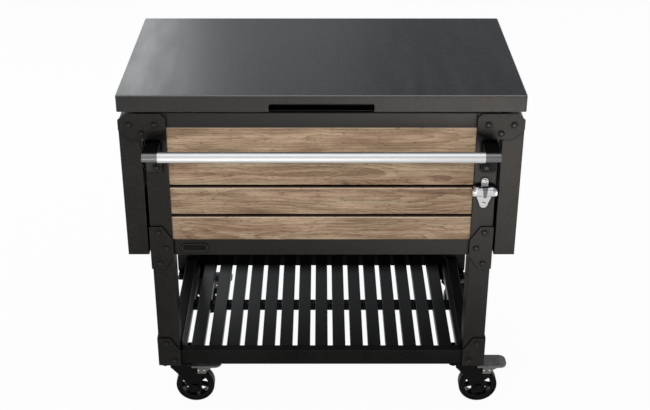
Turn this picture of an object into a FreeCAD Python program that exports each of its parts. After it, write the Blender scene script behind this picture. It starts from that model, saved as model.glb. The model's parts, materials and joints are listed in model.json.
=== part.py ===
import FreeCAD, Part
import math
import os

# Patio cooler cart: an insulated tub in a steel frame on locking swivel casters, with a
# hinged worktop lid, two side leaves that fold up, a front of wood planks with a towel bar
# and a bottle opener, and an open slatted shelf below.
# Millimetres, +Z up, the front faces -Y. The origin is on the floor under the middle of
# the frame. Most pieces are drawn for the right front corner and mirrored to the others.

V = FreeCAD.Vector

# Lid and worktop
counter_height = 914.0
lid_width = 970.0
lid_depth = 560.0
lid_height = 41.5
lid_gap = 6.5
lid_overhang = 8.0
lid_sheet = 1.2
lid_corner_radius = 5.0
lid_edge_radius = 3.0
notch_width = 250.0
notch_height = 20.0
notch_radius = 5.0
finger_depth = 36.0
liner_edge_gap = 1.0

# Frame
leg_size = 55.0
leg_wall = 1.6
leg_edge_radius = 2.0
body_height = 388.5
frame_sheet = 1.5
panel_sheet = 1.0
fold_radius = 2.5
rail_recess = 3.0
rail_flange = 29.0
top_rail_height = 39.0
bottom_rail_height = 44.0
side_flange = 20.0

# Wood front
plank_count = 4
plank_gap = 4.5
plank_thickness = 14.0
plank_edge = 2.5
top_lip = 3.0
bottom_lip = 10.0

# Cooler tub, foam and lid filling
foam_side = 38.0
foam_front = 54.5
foam_floor = 65.0
foam_fit = 0.3
tub_wall = 3.0
tub_corner_radius = 40.0
tub_floor_radius = 20.0
tub_flange_inset = 10.0
liner_wall = 3.0
plug_depth = 11.0
plug_gap = 8.0
plug_radius = 30.0
gasket_width = 12.0
gasket_out = 14.0
gasket_height = 6.7
seat_gap = 0.3

# Drain
drain_y = 120.0
drain_outer_radius = 14.0
drain_bore_radius = 10.0
drain_fit = 0.1
drain_drop = 28.5
drain_nut_radius = 24.0
drain_nut_height = 5.0
cap_wall = 4.0
cap_floor = 4.0
cap_height = 22.0
cap_fit = 0.3
cap_grips = 10
cap_grip_radius = 3.0
cap_grip_out = 1.0

# Lid hinges
hinge_offset_x = 250.0
hinge_width = 80.0
hinge_knuckles = 5
knuckle_radius = 5.0
knuckle_gap = 0.3
hinge_pin_radius = 2.0
pin_fit = 0.05
hinge_leaf = 2.0
hinge_leaf_height = 26.0
hinge_axis_inset = 4.0
hinge_axis_drop = 6.0
pin_head = 1.5
pin_head_radius = 3.5

# Towel bar
bar_radius = 13.4
bar_wall = 1.5
bar_overlap = 15.0
bar_drop = 86.0
bar_standoff = 64.1
bar_bracket_width = 37.0
bar_bracket_base = 6.0
bar_bracket_height = 78.0
bar_boss_radius = 12.0
bar_spigot = 22.0
bar_spigot_fit = 0.1
bar_screw_rise = 12.0
bar_washer_radius = 9.5
bar_washer_height = 2.0

# Side leaves and their brackets
leaf_thickness = 52.0
leaf_gap = 7.0
leaf_drop = 357.0
leaf_sheet = 1.2
leaf_end_gap = 0.5
leaf_edge_radius = 2.0
leaf_pivot_depth = 29.3
bracket_plate = 3.0
bracket_height = 66.0
bracket_inset = 1.0
bracket_outer_cut_x = 17.0
bracket_outer_cut_z = 16.0
bracket_inner_cut_x = 11.0
bracket_inner_cut_z = 10.0
bracket_outer_run = 28.0
bracket_inner_run = 40.0
bracket_outer_fall = 25.0
bracket_inner_fall = 21.0
bracket_bolt_inset = 27.0
stop_bolt_drop = 22.0
stop_bolt_radius = 3.0
stop_bolt_reach = 20.0
pivot_radius = 4.0
pivot_fit = 0.05
pivot_nut_radius = 7.0
pivot_nut_height = 6.5
pivot_nut_gap = 0.5

# Waist and foot plates
corner_plate = 3.0
corner_cut_x = 25.0
corner_cut_z = 38.0
waist_top_drop = 306.0
waist_height = 120.0
foot_height = 84.0
plate_bolt_inset = 15.5
plate_bolt_outer = 20.0
plate_bolt_inner = 17.0

# Bolts
bolt_radius = 3.0
bolt_head_radius = 7.0
bolt_head_height = 3.0
bolt_head_top = 4.6
bolt_reach = 8.0
bolt_fit = 0.25
hex_across = 13.0
hex_height = 5.0
bolt_tail = 1.5

# Bottle opener
opener_top_drop = 170.0
opener_height = 81.5
opener_plate = 3.0
opener_tab_radius = 8.5
opener_lobe_half = 21.0
opener_lobe_radius = 10.0
opener_lobe_height = 24.5
opener_hood_half = 32.0
opener_hood_reach = 20.0
opener_hood_rise = 28.0
opener_hood_wall = 3.0
opener_shoulder_radius = 15.0
opener_cheek_radius = 6.0
opener_brow_radius = 11.0
opener_rib = 2.0
opener_rib_half = 7.5
opener_nose_half = 3.5
opener_tooth = 2.0

# Shelf
shelf_rail_height = 44.0
shelf_rail_depth = 25.0
shelf_rail_recess = 2.0
shelf_rail_wall = 1.5
side_rail_width = 30.0
slot_count = 16
slot_width = 13.2
end_slat_width = 13.3
slat_height = 20.0
slat_wall = 1.0
slat_edge_radius = 1.5
rail_edge_radius = 2.0
cross_bar_depth = 30.0
cross_bar_height = 18.0

# Casters
wheel_diameter = 103.0
wheel_clear = 21.0
yoke_plate = 4.0
crown_height = 7.7
swivel_gap = 0.3
race_height = 6.0
caster_plate = 3.0
caster_plate_x = 88.0
caster_plate_y = 105.0
caster_plate_corner = 8.0
caster_bolt_x = 32.0
caster_bolt_y = 42.0
crown_radius = 29.0
race_edge_radius = 2.5
kingpin_radius = 5.0
kingpin_head_radius = 10.0
kingpin_head = 4.0
shaft_fit = 0.05
trail = 41.0
wheel_width = 32.0
tyre_thickness = 9.0
tyre_shoulder = 5.0
tyre_fit = 0.05
rim_thickness = 7.0
rim_width = 26.0
hub_radius = 13.0
hub_width = 36.0
hub_edge = 2.0
spoke_count = 7
spoke_width = 6.5
spoke_depth = 16.0
axle_radius = 4.0
axle_head_radius = 8.0
axle_head = 4.0
fork_side_gap = 1.0
fork_plate = 3.0
fork_back = 22.0
fork_front = 33.0
fork_end_radius = 18.0
fork_waist = 4.0
pedal_width = 55.0
pedal_reach = 114.0
pedal_root = 35.0
pedal_plate = 5.0
pedal_clear = 2.5
pedal_corner = 19.0
pedal_pivot_x = 60.0
pedal_pivot_drop = 8.0
pedal_pin_radius = 3.0
pedal_lug_radius = 6.0
pedal_lug_width = 6.0
pedal_lug_gap = 0.5
pedal_lip = 1.0
pedal_skirt = 2.5
pedal_skirt_root = 50.0
pedal_skirt_turn = 72.0
pedal_skirt_tip = 97.0
pedal_skirt_depth = 19.0
pedal_skirt_sag = 4.0
pedal_grips = 3
pedal_grip_pitch = 7.0
pedal_grip_radius = 1.8
pedal_grip_sink = 0.8
pedal_grip_inset = 9.0
shoe_gap = 4.2
shoe_half = 5.0
shoe_offset = 15.0

# Heights and faces that follow from the sizes above
lid_bottom = counter_height - lid_height
notch_top = lid_bottom + notch_height
frame_top = lid_bottom - lid_gap
body_bottom = frame_top - body_height
leaf_outer_x = lid_width / 2
leaf_inner_x = leaf_outer_x - leaf_thickness
leg_outer_x = leaf_inner_x - leaf_gap
leg_inner_x = leg_outer_x - leg_size
leg_outer_y = lid_depth / 2 - lid_overhang
leg_inner_y = leg_outer_y - leg_size
wheel_radius = wheel_diameter / 2
yoke_bottom = wheel_diameter + wheel_clear
yoke_top = yoke_bottom + yoke_plate
crown_top = yoke_top + crown_height
race_bottom = crown_top + swivel_gap
caster_plate_bottom = race_bottom + race_height
leg_bottom = caster_plate_bottom + caster_plate
rail_front_y = leg_outer_y - rail_recess
panel_back_y = rail_front_y - frame_sheet
plank_front_y = panel_back_y
backing_front_y = plank_front_y - plank_thickness
backing_back_y = backing_front_y - panel_sheet
top_rail_bottom = frame_top - top_rail_height
bottom_rail_top = body_bottom + bottom_rail_height
pan_bottom = body_bottom + frame_sheet
pan_top = pan_bottom + panel_sheet
flange_under = frame_top - frame_sheet
tub_length = 2 * (leg_inner_x - foam_side - tub_wall)
tub_width = 2 * (backing_back_y - foam_front - tub_wall)
tub_flange_x = leg_inner_x + side_flange
tub_flange_y = leg_outer_y - tub_flange_inset
tub_rim = frame_top + tub_wall
tub_floor = pan_top + foam_floor + tub_wall
pivot_x = leaf_outer_x - leaf_thickness / 2
pivot_z = frame_top - leaf_pivot_depth
bar_y = leg_outer_y + bar_standoff
bar_z = frame_top - bar_drop
bar_end_x = leg_inner_x + bar_overlap
shelf_top = leg_bottom + shelf_rail_height
shelf_rail_front_y = leg_outer_y - shelf_rail_recess
shelf_rail_back_y = shelf_rail_front_y - shelf_rail_depth
swivel_x = leg_outer_x - caster_plate_x / 2
swivel_y = leg_outer_y - caster_plate_y / 2
fork_inner_y = hub_width / 2 + fork_side_gap
fork_outer_y = fork_inner_y + fork_plate
pedal_bottom = yoke_bottom - pedal_clear - pedal_plate
pedal_top = pedal_bottom + pedal_plate
pedal_pivot_z = pedal_bottom - pedal_pivot_drop
hinge_y = lid_depth / 2 - hinge_axis_inset
hinge_z = lid_bottom - hinge_axis_drop
gasket_bottom = tub_rim + seat_gap
liner_bottom = gasket_bottom + gasket_height
liner_top = liner_bottom + liner_wall
opener_x = (leg_inner_x + leg_outer_x) / 2
opener_top = frame_top - opener_top_drop
opener_tab_z = opener_top - opener_tab_radius
opener_lobe_z = opener_top - opener_height + opener_lobe_radius
hood_z = opener_lobe_z + opener_lobe_height
over = 1.0

CORNERS = (
    ("front_left", -1, -1),
    ("front_right", 1, -1),
    ("back_left", -1, 1),
    ("back_right", 1, 1),
)


def block(x0, x1, y0, y1, z0, z1):
    return Part.makeBox(x1 - x0, y1 - y0, z1 - z0, V(x0, y0, z0))


def rod(radius, start, end):
    axis = end.sub(start)
    return Part.makeCylinder(radius, axis.Length, start, axis)


def prism_x(points, x0, x1):
    """Extrude an outline given in Y and Z."""
    corners = [V(x0, y, z) for y, z in points]
    return Part.Face(Part.makePolygon(corners + corners[:1])).extrude(V(x1 - x0, 0, 0))


def prism_y(points, y0, y1):
    """Extrude an outline given in X and Z."""
    corners = [V(x, y0, z) for x, z in points]
    return Part.Face(Part.makePolygon(corners + corners[:1])).extrude(V(0, y1 - y0, 0))


def prism_z(points, z0, z1):
    """Extrude an outline given in X and Y."""
    corners = [V(x, y, z0) for x, y in points]
    return Part.Face(Part.makePolygon(corners + corners[:1])).extrude(V(0, 0, z1 - z0))


def edges_along(shape, axis):
    return [e for e in shape.Edges if abs(e.tangentAt(e.FirstParameter).dot(axis)) > 0.999]


def edges_at_height(shape, z):
    return [e for e in shape.Edges if abs(e.BoundBox.ZMin - z) < 1e-6 and abs(e.BoundBox.ZMax - z) < 1e-6]


def round_upright(shape, radius):
    return shape.makeFillet(radius, edges_along(shape, V(0, 0, 1)))


def centred(half_x, half_y, z0, z1):
    return block(-half_x, half_x, -half_y, half_y, z0, z1)


def joined(first, *others):
    return first.multiFuse(list(others)).removeSplitter()


def to_corner(shape, side, end):
    """Mirror a piece of the right front corner to another corner."""
    if side < 0:
        shape = shape.mirror(V(0, 0, 0), V(1, 0, 0))
    if end > 0:
        shape = shape.mirror(V(0, 0, 0), V(0, 1, 0))
    return shape


def at_all_corners(shape):
    return [to_corner(shape, side, end) for _, side, end in CORNERS]


def save(name, solids):
    shape = solids[0] if len(solids) == 1 else Part.makeCompound(solids)
    shape.exportStep("parts/%s.step" % name)


# Bolt places on the front of the right front leg, as X and Z

waist_top = frame_top - waist_top_drop
waist_bottom = waist_top - waist_height
foot_top = leg_bottom + foot_height
WAIST_BOLTS = (
    (leg_outer_x - plate_bolt_outer, waist_top - plate_bolt_inset),
    (leg_inner_x + plate_bolt_inner, (waist_top + waist_bottom) / 2),
    (leg_outer_x - plate_bolt_outer, waist_bottom + plate_bolt_inset),
)
FOOT_BOLTS = (
    (leg_outer_x - plate_bolt_outer, foot_top - plate_bolt_inset),
    (leg_inner_x + plate_bolt_inner, leg_bottom + plate_bolt_inset),
)
BRACKET_BOLT = (leg_inner_x + bracket_bolt_inset, pivot_z)
STOP_BOLT = (leg_outer_x + leaf_gap / 2, pivot_z - stop_bolt_drop)
BAR_SCREW = (opener_x, bar_z + bar_boss_radius - bar_bracket_height + bar_screw_rise)
OPENER_SCREWS = (
    (opener_x, opener_tab_z),
    (opener_x, opener_lobe_z),
)
RAIL_BOLT = (swivel_x - caster_bolt_x, -swivel_y - caster_bolt_y)
PLATE_BOLTS = (
    (swivel_x + caster_bolt_x, -swivel_y - caster_bolt_y),
    (swivel_x - caster_bolt_x, -swivel_y + caster_bolt_y),
    (swivel_x + caster_bolt_x, -swivel_y + caster_bolt_y),
)


def drill(place, y0, y1, radius=bolt_radius + bolt_fit):
    x, z = place
    return rod(radius, V(x, y0, z), V(x, y1, z))


def bolt(place, seat_y, reach, radius=bolt_radius):
    """A low round-headed bolt that seats on the plane Y = seat_y, with its head towards -Y."""
    x, z = place
    head = Part.makeCone(
        bolt_head_radius, bolt_head_top, bolt_head_height, V(x, seat_y, z), V(0, -1, 0)
    )
    return joined(head, rod(radius, V(x, seat_y, z), V(x, seat_y + reach, z)))


def hexagon(x, y, z0, z1):
    radius = hex_across / math.sqrt(3)
    turns = [math.radians(60 * i) for i in range(6)]
    return prism_z([(x + radius * math.cos(t), y + radius * math.sin(t)) for t in turns], z0, z1)


# Frame


def leg(side, end):
    """A square tube with a closed top, drilled for what is bolted to it."""
    outer = block(leg_inner_x, leg_outer_x, -leg_outer_y, -leg_inner_y, leg_bottom, frame_top)
    outer = round_upright(outer, leg_edge_radius)
    hollow = block(
        leg_inner_x + leg_wall,
        leg_outer_x - leg_wall,
        -leg_outer_y + leg_wall,
        -leg_inner_y - leg_wall,
        leg_bottom - over,
        frame_top - leg_wall,
    )
    places = list(WAIST_BOLTS + FOOT_BOLTS) + [BRACKET_BOLT]
    if end < 0:
        places.append(BAR_SCREW)
    if end < 0 and side > 0:
        places.extend(OPENER_SCREWS)
    holes = [drill(p, -leg_outer_y - over, -leg_outer_y + leg_wall + over) for p in places]
    return to_corner(outer.cut(hollow).cut(Part.makeCompound(holes)), side, end)


def round_fold(shape, y, z):
    """Round the bend of a folded sheet that runs along X at the given Y and Z."""
    bend = [e for e in edges_along(shape, V(1, 0, 0)) if e.CenterOfMass.distanceToPoint(V(0, y, z)) < over]
    return shape.makeFillet(fold_radius, bend)


def front_top_rail():
    """A folded angle: a face in front of the planks and a flange along the top."""
    points = [
        (-rail_front_y, top_rail_bottom),
        (-rail_front_y, frame_top),
        (-rail_front_y + rail_flange, frame_top),
        (-rail_front_y + rail_flange, flange_under),
        (-panel_back_y, flange_under),
        (-panel_back_y, top_rail_bottom),
    ]
    return round_fold(prism_x(points, -leg_inner_x, leg_inner_x), -rail_front_y, frame_top)


def front_bottom_rail():
    points = [
        (-rail_front_y, bottom_rail_top),
        (-rail_front_y, body_bottom),
        (-rail_front_y + rail_flange, body_bottom),
        (-rail_front_y + rail_flange, pan_bottom),
        (-panel_back_y, pan_bottom),
        (-panel_back_y, bottom_rail_top),
    ]
    return round_fold(prism_x(points, -leg_inner_x, leg_inner_x), -rail_front_y, body_bottom)


def front_plank(index):
    """One board, with its front edges eased. Board 0 is the top one."""
    stack_top = top_rail_bottom + top_lip
    stack_bottom = bottom_rail_top - bottom_lip
    height = (stack_top - stack_bottom - (plank_count - 1) * plank_gap) / plank_count
    top = stack_top - index * (height + plank_gap)
    board = block(-leg_inner_x, leg_inner_x, -plank_front_y, -backing_front_y, top - height, top)
    front = [e for e in edges_along(board, V(1, 0, 0)) if e.BoundBox.YMax < -plank_front_y + over]
    return board.makeChamfer(plank_edge, front)


def front_backing_panel():
    return block(-leg_inner_x, leg_inner_x, -backing_front_y, -backing_back_y, pan_bottom, flange_under)


def back_panel():
    """A folded sheet: the back of the body with flanges along the top and the bottom."""
    points = [
        (rail_front_y, body_bottom),
        (rail_front_y, frame_top),
        (rail_front_y - rail_flange, frame_top),
        (rail_front_y - rail_flange, flange_under),
        (panel_back_y, flange_under),
        (panel_back_y, pan_bottom),
        (rail_front_y - rail_flange, pan_bottom),
        (rail_front_y - rail_flange, body_bottom),
    ]
    sheet = prism_x(points, -leg_inner_x, leg_inner_x)
    return round_fold(round_fold(sheet, rail_front_y, frame_top), rail_front_y, body_bottom)


def side_panel(side):
    """A tray between the legs, open to the outside, with a flange on each edge."""
    outer = block(
        leg_inner_x, leg_inner_x + side_flange, -leg_inner_y, leg_inner_y, body_bottom, frame_top
    )
    tray = block(
        leg_inner_x + panel_sheet,
        leg_inner_x + side_flange + over,
        -leg_inner_y + panel_sheet,
        leg_inner_y - panel_sheet,
        body_bottom + frame_sheet,
        flange_under,
    )
    return to_corner(outer.cut(tray), side, -1)


def drain_hole(z0, z1):
    return rod(drain_outer_radius + drain_fit, V(0, drain_y, z0), V(0, drain_y, z1))


def bottom_pan():
    sheet = block(-leg_inner_x, leg_inner_x, -backing_back_y, panel_back_y, pan_bottom, pan_top)
    return sheet.cut(drain_hole(pan_bottom - over, pan_top + over))


# Cooler tub


def tub_form(half_x, half_y, z0, z1, corner, floor):
    """A box with rounded corners and a rounded floor, open upwards or not."""
    form = round_upright(centred(half_x, half_y, z0, z1), corner)
    return form.makeFillet(floor, edges_at_height(form, z0))


def tub_outside(extra, top):
    return tub_form(
        tub_length / 2 + tub_wall + extra,
        tub_width / 2 + tub_wall + extra,
        tub_floor - tub_wall - extra,
        top,
        tub_corner_radius + tub_wall + extra,
        tub_floor_radius + tub_wall + extra,
    )


def cooler_tub():
    flange = round_upright(centred(tub_flange_x, tub_flange_y, frame_top, tub_rim), tub_corner_radius)
    inside = tub_form(
        tub_length / 2, tub_width / 2, tub_floor, tub_rim + over, tub_corner_radius, tub_floor_radius
    )
    shell = joined(tub_outside(0.0, tub_rim), flange)
    return shell.cut(inside).cut(drain_hole(tub_floor - tub_wall - over, tub_floor + over))


def tub_foam():
    body = block(-leg_inner_x, leg_inner_x, -backing_back_y, panel_back_y, pan_top, flange_under)
    return body.cut(tub_outside(foam_fit, frame_top)).cut(drain_hole(pan_top - over, tub_floor))


def drain_end():
    return pan_bottom - drain_drop


def drain_spout():
    """A pipe from the tub floor through the bottom pan, with its nut under the pan."""
    pipe = rod(drain_outer_radius, V(0, drain_y, drain_end()), V(0, drain_y, tub_floor))
    nut = rod(drain_nut_radius, V(0, drain_y, pan_bottom - drain_nut_height), V(0, drain_y, pan_bottom))
    bore = rod(drain_bore_radius, V(0, drain_y, drain_end() - over), V(0, drain_y, tub_floor + over))
    return joined(pipe, nut).cut(bore)


def drain_cap():
    """A screw cap over the end of the spout, with finger grips round it."""
    floor_top = drain_end() - cap_fit
    bottom = floor_top - cap_floor
    inner = drain_outer_radius + cap_fit
    outer = inner + cap_wall
    cup = rod(outer, V(0, drain_y, bottom), V(0, drain_y, bottom + cap_height))
    cup = cup.cut(rod(inner, V(0, drain_y, floor_top), V(0, drain_y, bottom + cap_height + over)))
    grips = []
    for i in range(cap_grips):
        turn = 2 * math.pi * i / cap_grips
        x = (outer + cap_grip_out) * math.cos(turn)
        y = drain_y + (outer + cap_grip_out) * math.sin(turn)
        grips.append(rod(cap_grip_radius, V(x, y, bottom - over), V(x, y, bottom + cap_height + over)))
    return cup.cut(Part.makeCompound(grips))


# Lid


def finger_pocket(wall):
    """The room for fingers behind the notch, drawn larger by the wall of its steel pocket."""
    half = notch_width / 2 + notch_radius + wall
    front = -lid_depth / 2
    back = front + finger_depth + wall
    return block(-half, half, front - over, back, lid_bottom - over, notch_top + wall)


def lid_shell():
    """A folded pan with rounded corners, and a finger notch in its apron with a pocket behind."""
    pan = round_upright(centred(lid_width / 2, lid_depth / 2, lid_bottom, counter_height), lid_corner_radius)
    pan = pan.makeFillet(lid_edge_radius, edges_at_height(pan, counter_height))
    hollow = round_upright(
        centred(
            lid_width / 2 - lid_sheet,
            lid_depth / 2 - lid_sheet,
            lid_bottom - over,
            counter_height - lid_sheet,
        ),
        lid_corner_radius - lid_sheet,
    )
    notch = block(
        -notch_width / 2,
        notch_width / 2,
        -lid_depth / 2 - over,
        -lid_depth / 2 + lid_sheet + over,
        lid_bottom - notch_height,
        notch_top,
    )
    upper = [e for e in edges_along(notch, V(0, 1, 0)) if e.BoundBox.ZMin > lid_bottom]
    pocket = finger_pocket(lid_sheet).common(pan).cut(finger_pocket(0.0))
    shell = joined(pan.cut(hollow), pocket)
    return shell.cut(notch.makeFillet(notch_radius, upper))


def lid_filling(z0, z1):
    half_x = lid_width / 2 - lid_sheet - liner_edge_gap
    half_y = lid_depth / 2 - lid_sheet - liner_edge_gap
    return round_upright(centred(half_x, half_y, z0, z1), lid_corner_radius)


def lid_plug(inset, top):
    """The plug that reaches into the tub, drawn smaller by inset for what fills it."""
    half_x = tub_length / 2 - plug_gap - inset
    half_y = tub_width / 2 - plug_gap - inset
    bottom = tub_rim - plug_depth + inset
    return round_upright(centred(half_x, half_y, bottom, top), plug_radius - inset)


def lid_liner():
    """A tray that closes the lid from below, with a plug that reaches into the tub."""
    rim = lid_filling(liner_bottom, liner_top)
    tray = joined(rim, lid_plug(0.0, liner_bottom))
    return tray.cut(lid_plug(liner_wall, liner_top + over)).cut(finger_pocket(lid_sheet))


def lid_foam():
    foam = joined(lid_filling(liner_top, counter_height - lid_sheet), lid_plug(liner_wall, liner_top))
    return foam.cut(finger_pocket(lid_sheet))


def lid_gasket():
    half_x = tub_length / 2 + gasket_out
    half_y = tub_width / 2 + gasket_out
    outer = centred(half_x + gasket_width, half_y + gasket_width, gasket_bottom, liner_bottom)
    inner = centred(half_x, half_y, gasket_bottom - over, liner_bottom + over)
    ring = round_upright(outer, tub_corner_radius + gasket_width)
    return ring.cut(round_upright(inner, tub_corner_radius))


# Lid hinges


def knuckle_spans(x, first):
    """The stretches along X of every other knuckle, starting with knuckle number first."""
    pitch = hinge_width / hinge_knuckles
    left = x - hinge_width / 2
    spans = []
    for i in range(first, hinge_knuckles, 2):
        spans.append((left + i * pitch + knuckle_gap / 2, left + (i + 1) * pitch - knuckle_gap / 2))
    return spans


def hinge_half(x, first, plate_y, direction):
    """A hinge plate with its knuckles. It points up for the lid and down for the frame."""
    reach = knuckle_radius + knuckle_gap
    near = hinge_z + direction * reach
    far = hinge_z + direction * hinge_leaf_height
    left = x - hinge_width / 2
    right = x + hinge_width / 2
    plate = block(left, right, plate_y, plate_y + hinge_leaf, min(near, far), max(near, far))
    pieces = []
    for x0, x1 in knuckle_spans(x, first):
        tab = block(x0, x1, plate_y, plate_y + hinge_leaf, min(hinge_z, near), max(hinge_z, near))
        pieces.append(tab)
        web_y0 = min(plate_y, hinge_y)
        web_y1 = max(plate_y + hinge_leaf, hinge_y)
        pieces.append(block(x0, x1, web_y0, web_y1, hinge_z - hinge_leaf / 2, hinge_z + hinge_leaf / 2))
        pieces.append(rod(knuckle_radius, V(x0, hinge_y, hinge_z), V(x1, hinge_y, hinge_z)))
    bore = rod(
        hinge_pin_radius + pin_fit, V(left - over, hinge_y, hinge_z), V(right + over, hinge_y, hinge_z)
    )
    return joined(plate, *pieces).cut(bore)


def hinge_frame_leaf(x):
    return hinge_half(x, 0, rail_front_y, -1)


def hinge_lid_leaf(x):
    return hinge_half(x, 1, lid_depth / 2, 1)


def hinge_pin(x):
    left = x - hinge_width / 2 - knuckle_gap
    right = x + hinge_width / 2 + knuckle_gap
    shaft = rod(hinge_pin_radius, V(left, hinge_y, hinge_z), V(right, hinge_y, hinge_z))
    heads = [
        rod(pin_head_radius, V(left - pin_head, hinge_y, hinge_z), V(left, hinge_y, hinge_z)),
        rod(pin_head_radius, V(right, hinge_y, hinge_z), V(right + pin_head, hinge_y, hinge_z)),
    ]
    return joined(shaft, *heads)


# Towel bar and bottle opener


def towel_bar():
    left = V(-bar_end_x, -bar_y, bar_z)
    right = V(bar_end_x, -bar_y, bar_z)
    return rod(bar_radius, left, right).cut(rod(bar_radius - bar_wall, left, right))


def towel_bar_bracket(side):
    """A base on the leg, an arm out to the bar and a spigot that fills the end of the tube."""
    x0 = bar_end_x
    x1 = x0 + bar_bracket_width
    face = -leg_outer_y
    base_top = bar_z + bar_boss_radius
    base = block(x0, x1, face - bar_bracket_base, face, base_top - bar_bracket_height, base_top)
    lower = [e for e in edges_along(base, V(0, 1, 0)) if e.BoundBox.ZMax < bar_z]
    base = base.makeFillet(bar_bracket_base, lower)
    arm = block(x0, x1, -bar_y, face, bar_z - bar_boss_radius, base_top)
    boss = rod(bar_boss_radius, V(x0, -bar_y, bar_z), V(x1, -bar_y, bar_z))
    spigot_radius = bar_radius - bar_wall - bar_spigot_fit
    spigot = rod(spigot_radius, V(x0 - bar_spigot, -bar_y, bar_z), V(x0, -bar_y, bar_z))
    x, z = BAR_SCREW
    washer_top = face - bar_bracket_base - bar_washer_height
    washer = rod(bar_washer_radius, V(x, washer_top, z), V(x, face - bar_bracket_base, z))
    bracket = joined(base, arm, boss, spigot, washer)
    return to_corner(bracket.cut(drill(BAR_SCREW, washer_top - over, face + over)), side, -1)


def opener_hood(inset, drop):
    """The visor of the opener as a rounded block, drawn smaller by inset for its inside."""
    half = opener_hood_half - inset
    front = inset - leg_outer_y - opener_hood_reach
    back = -leg_outer_y
    bottom = hood_z - drop
    hood = block(opener_x - half, opener_x + half, front, back, bottom, hood_z + opener_hood_rise - inset)
    shoulders = [e for e in edges_along(hood, V(0, 1, 0)) if e.BoundBox.ZMin > hood_z]
    hood = hood.makeFillet(opener_shoulder_radius - inset, shoulders)
    if not inset:
        cheeks = [e for e in edges_along(hood, V(0, 1, 0)) if e.BoundBox.ZMax < hood_z + over]
        hood = hood.makeFillet(opener_cheek_radius, cheeks)
    brow = [e for e in hood.Edges if e.BoundBox.YMax < front + over and e.BoundBox.ZMax > hood_z + over]
    return hood.makeFillet(opener_brow_radius - inset, brow)


def opener_nose():
    """A rib that follows the hood down from the screw tab, narrower towards its end."""
    top = hood_z + opener_hood_rise + opener_rib
    taper = prism_y(
        [
            (opener_x - opener_nose_half, hood_z),
            (opener_x + opener_nose_half, hood_z),
            (opener_x + opener_rib_half, top),
            (opener_x - opener_rib_half, top),
        ],
        -leg_outer_y - opener_hood_reach - opener_rib,
        -leg_outer_y,
    )
    return opener_hood(-opener_rib, 0.0).common(taper)


def bottle_opener():
    """A cast wall opener: a screw tab, a hood with a nose, and a rounded plate below."""
    face = -leg_outer_y
    front = face - opener_plate
    tab = block(
        opener_x - opener_tab_radius, opener_x + opener_tab_radius, front, face, hood_z, opener_tab_z
    )
    tab_end = rod(opener_tab_radius, V(opener_x, front, opener_tab_z), V(opener_x, face, opener_tab_z))
    lobe = prism_y(
        [
            (opener_x - opener_lobe_half, hood_z + opener_hood_wall),
            (opener_x + opener_lobe_half, hood_z + opener_hood_wall),
            (opener_x + opener_lobe_radius, opener_lobe_z),
            (opener_x - opener_lobe_radius, opener_lobe_z),
        ],
        front,
        face,
    )
    lobe_end = rod(opener_lobe_radius, V(opener_x, front, opener_lobe_z), V(opener_x, face, opener_lobe_z))
    lip = face - opener_hood_reach
    tooth = block(
        opener_x - opener_nose_half,
        opener_x + opener_nose_half,
        lip - opener_rib,
        lip + opener_hood_wall + opener_tooth,
        hood_z - opener_tooth,
        hood_z,
    )
    inside = opener_hood(opener_hood_wall, over)
    hood = joined(opener_hood(0.0, 0.0), opener_nose()).cut(inside)
    casting = joined(hood, tab, tab_end, lobe, lobe_end, tooth)
    holes = [drill(place, front - over, face + over) for place in OPENER_SCREWS]
    return casting.cut(Part.makeCompound(holes))


# Side leaves, their brackets and the corner plates


def leaf_outline(inset, inner):
    """The end view of the right leaf: straight sides and a round top about the pivot."""
    radius = leaf_thickness / 2 - inset
    bottom = pivot_z - leaf_drop + inset
    outer = leaf_outer_x - inset
    over_pivot = Part.Arc(
        V(pivot_x + radius, 0, pivot_z), V(pivot_x, 0, pivot_z + radius), V(pivot_x - radius, 0, pivot_z)
    )
    corners = [V(pivot_x - radius, 0, pivot_z), V(inner, 0, pivot_z), V(inner, 0, bottom)]
    corners += [V(outer, 0, bottom), V(outer, 0, pivot_z)]
    edges = [over_pivot.toShape()]
    for start, end in zip(corners, corners[1:]):
        if start.distanceToPoint(end) > 1e-6:
            edges.append(Part.LineSegment(start, end).toShape())
    return Part.Face(Part.Wire(edges))


def drop_leaf(side):
    """A folded pan, open towards the legs, that turns on bolts at its two upper ends."""
    half = leg_outer_y - leaf_end_gap
    skin = leaf_outline(0.0, leaf_inner_x).extrude(V(0, 2 * half, 0))
    skin.translate(V(0, -half, 0))
    outer_edges = [e for e in edges_along(skin, V(0, 0, 1)) if e.BoundBox.XMin > pivot_x]
    bottom = [
        e
        for e in edges_along(skin, V(1, 0, 0))
        if e.BoundBox.ZMax < pivot_z - leaf_drop + over
    ]
    skin = skin.makeFillet(leaf_edge_radius, outer_edges + bottom)
    hollow = leaf_outline(leaf_sheet, leaf_inner_x - over).extrude(V(0, 2 * (half - leaf_sheet), 0))
    hollow.translate(V(0, leaf_sheet - half, 0))
    bores = drill((pivot_x, pivot_z), -half - over, half + over, pivot_radius + pivot_fit)
    return to_corner(skin.cut(hollow).cut(bores), side, -1)


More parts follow.
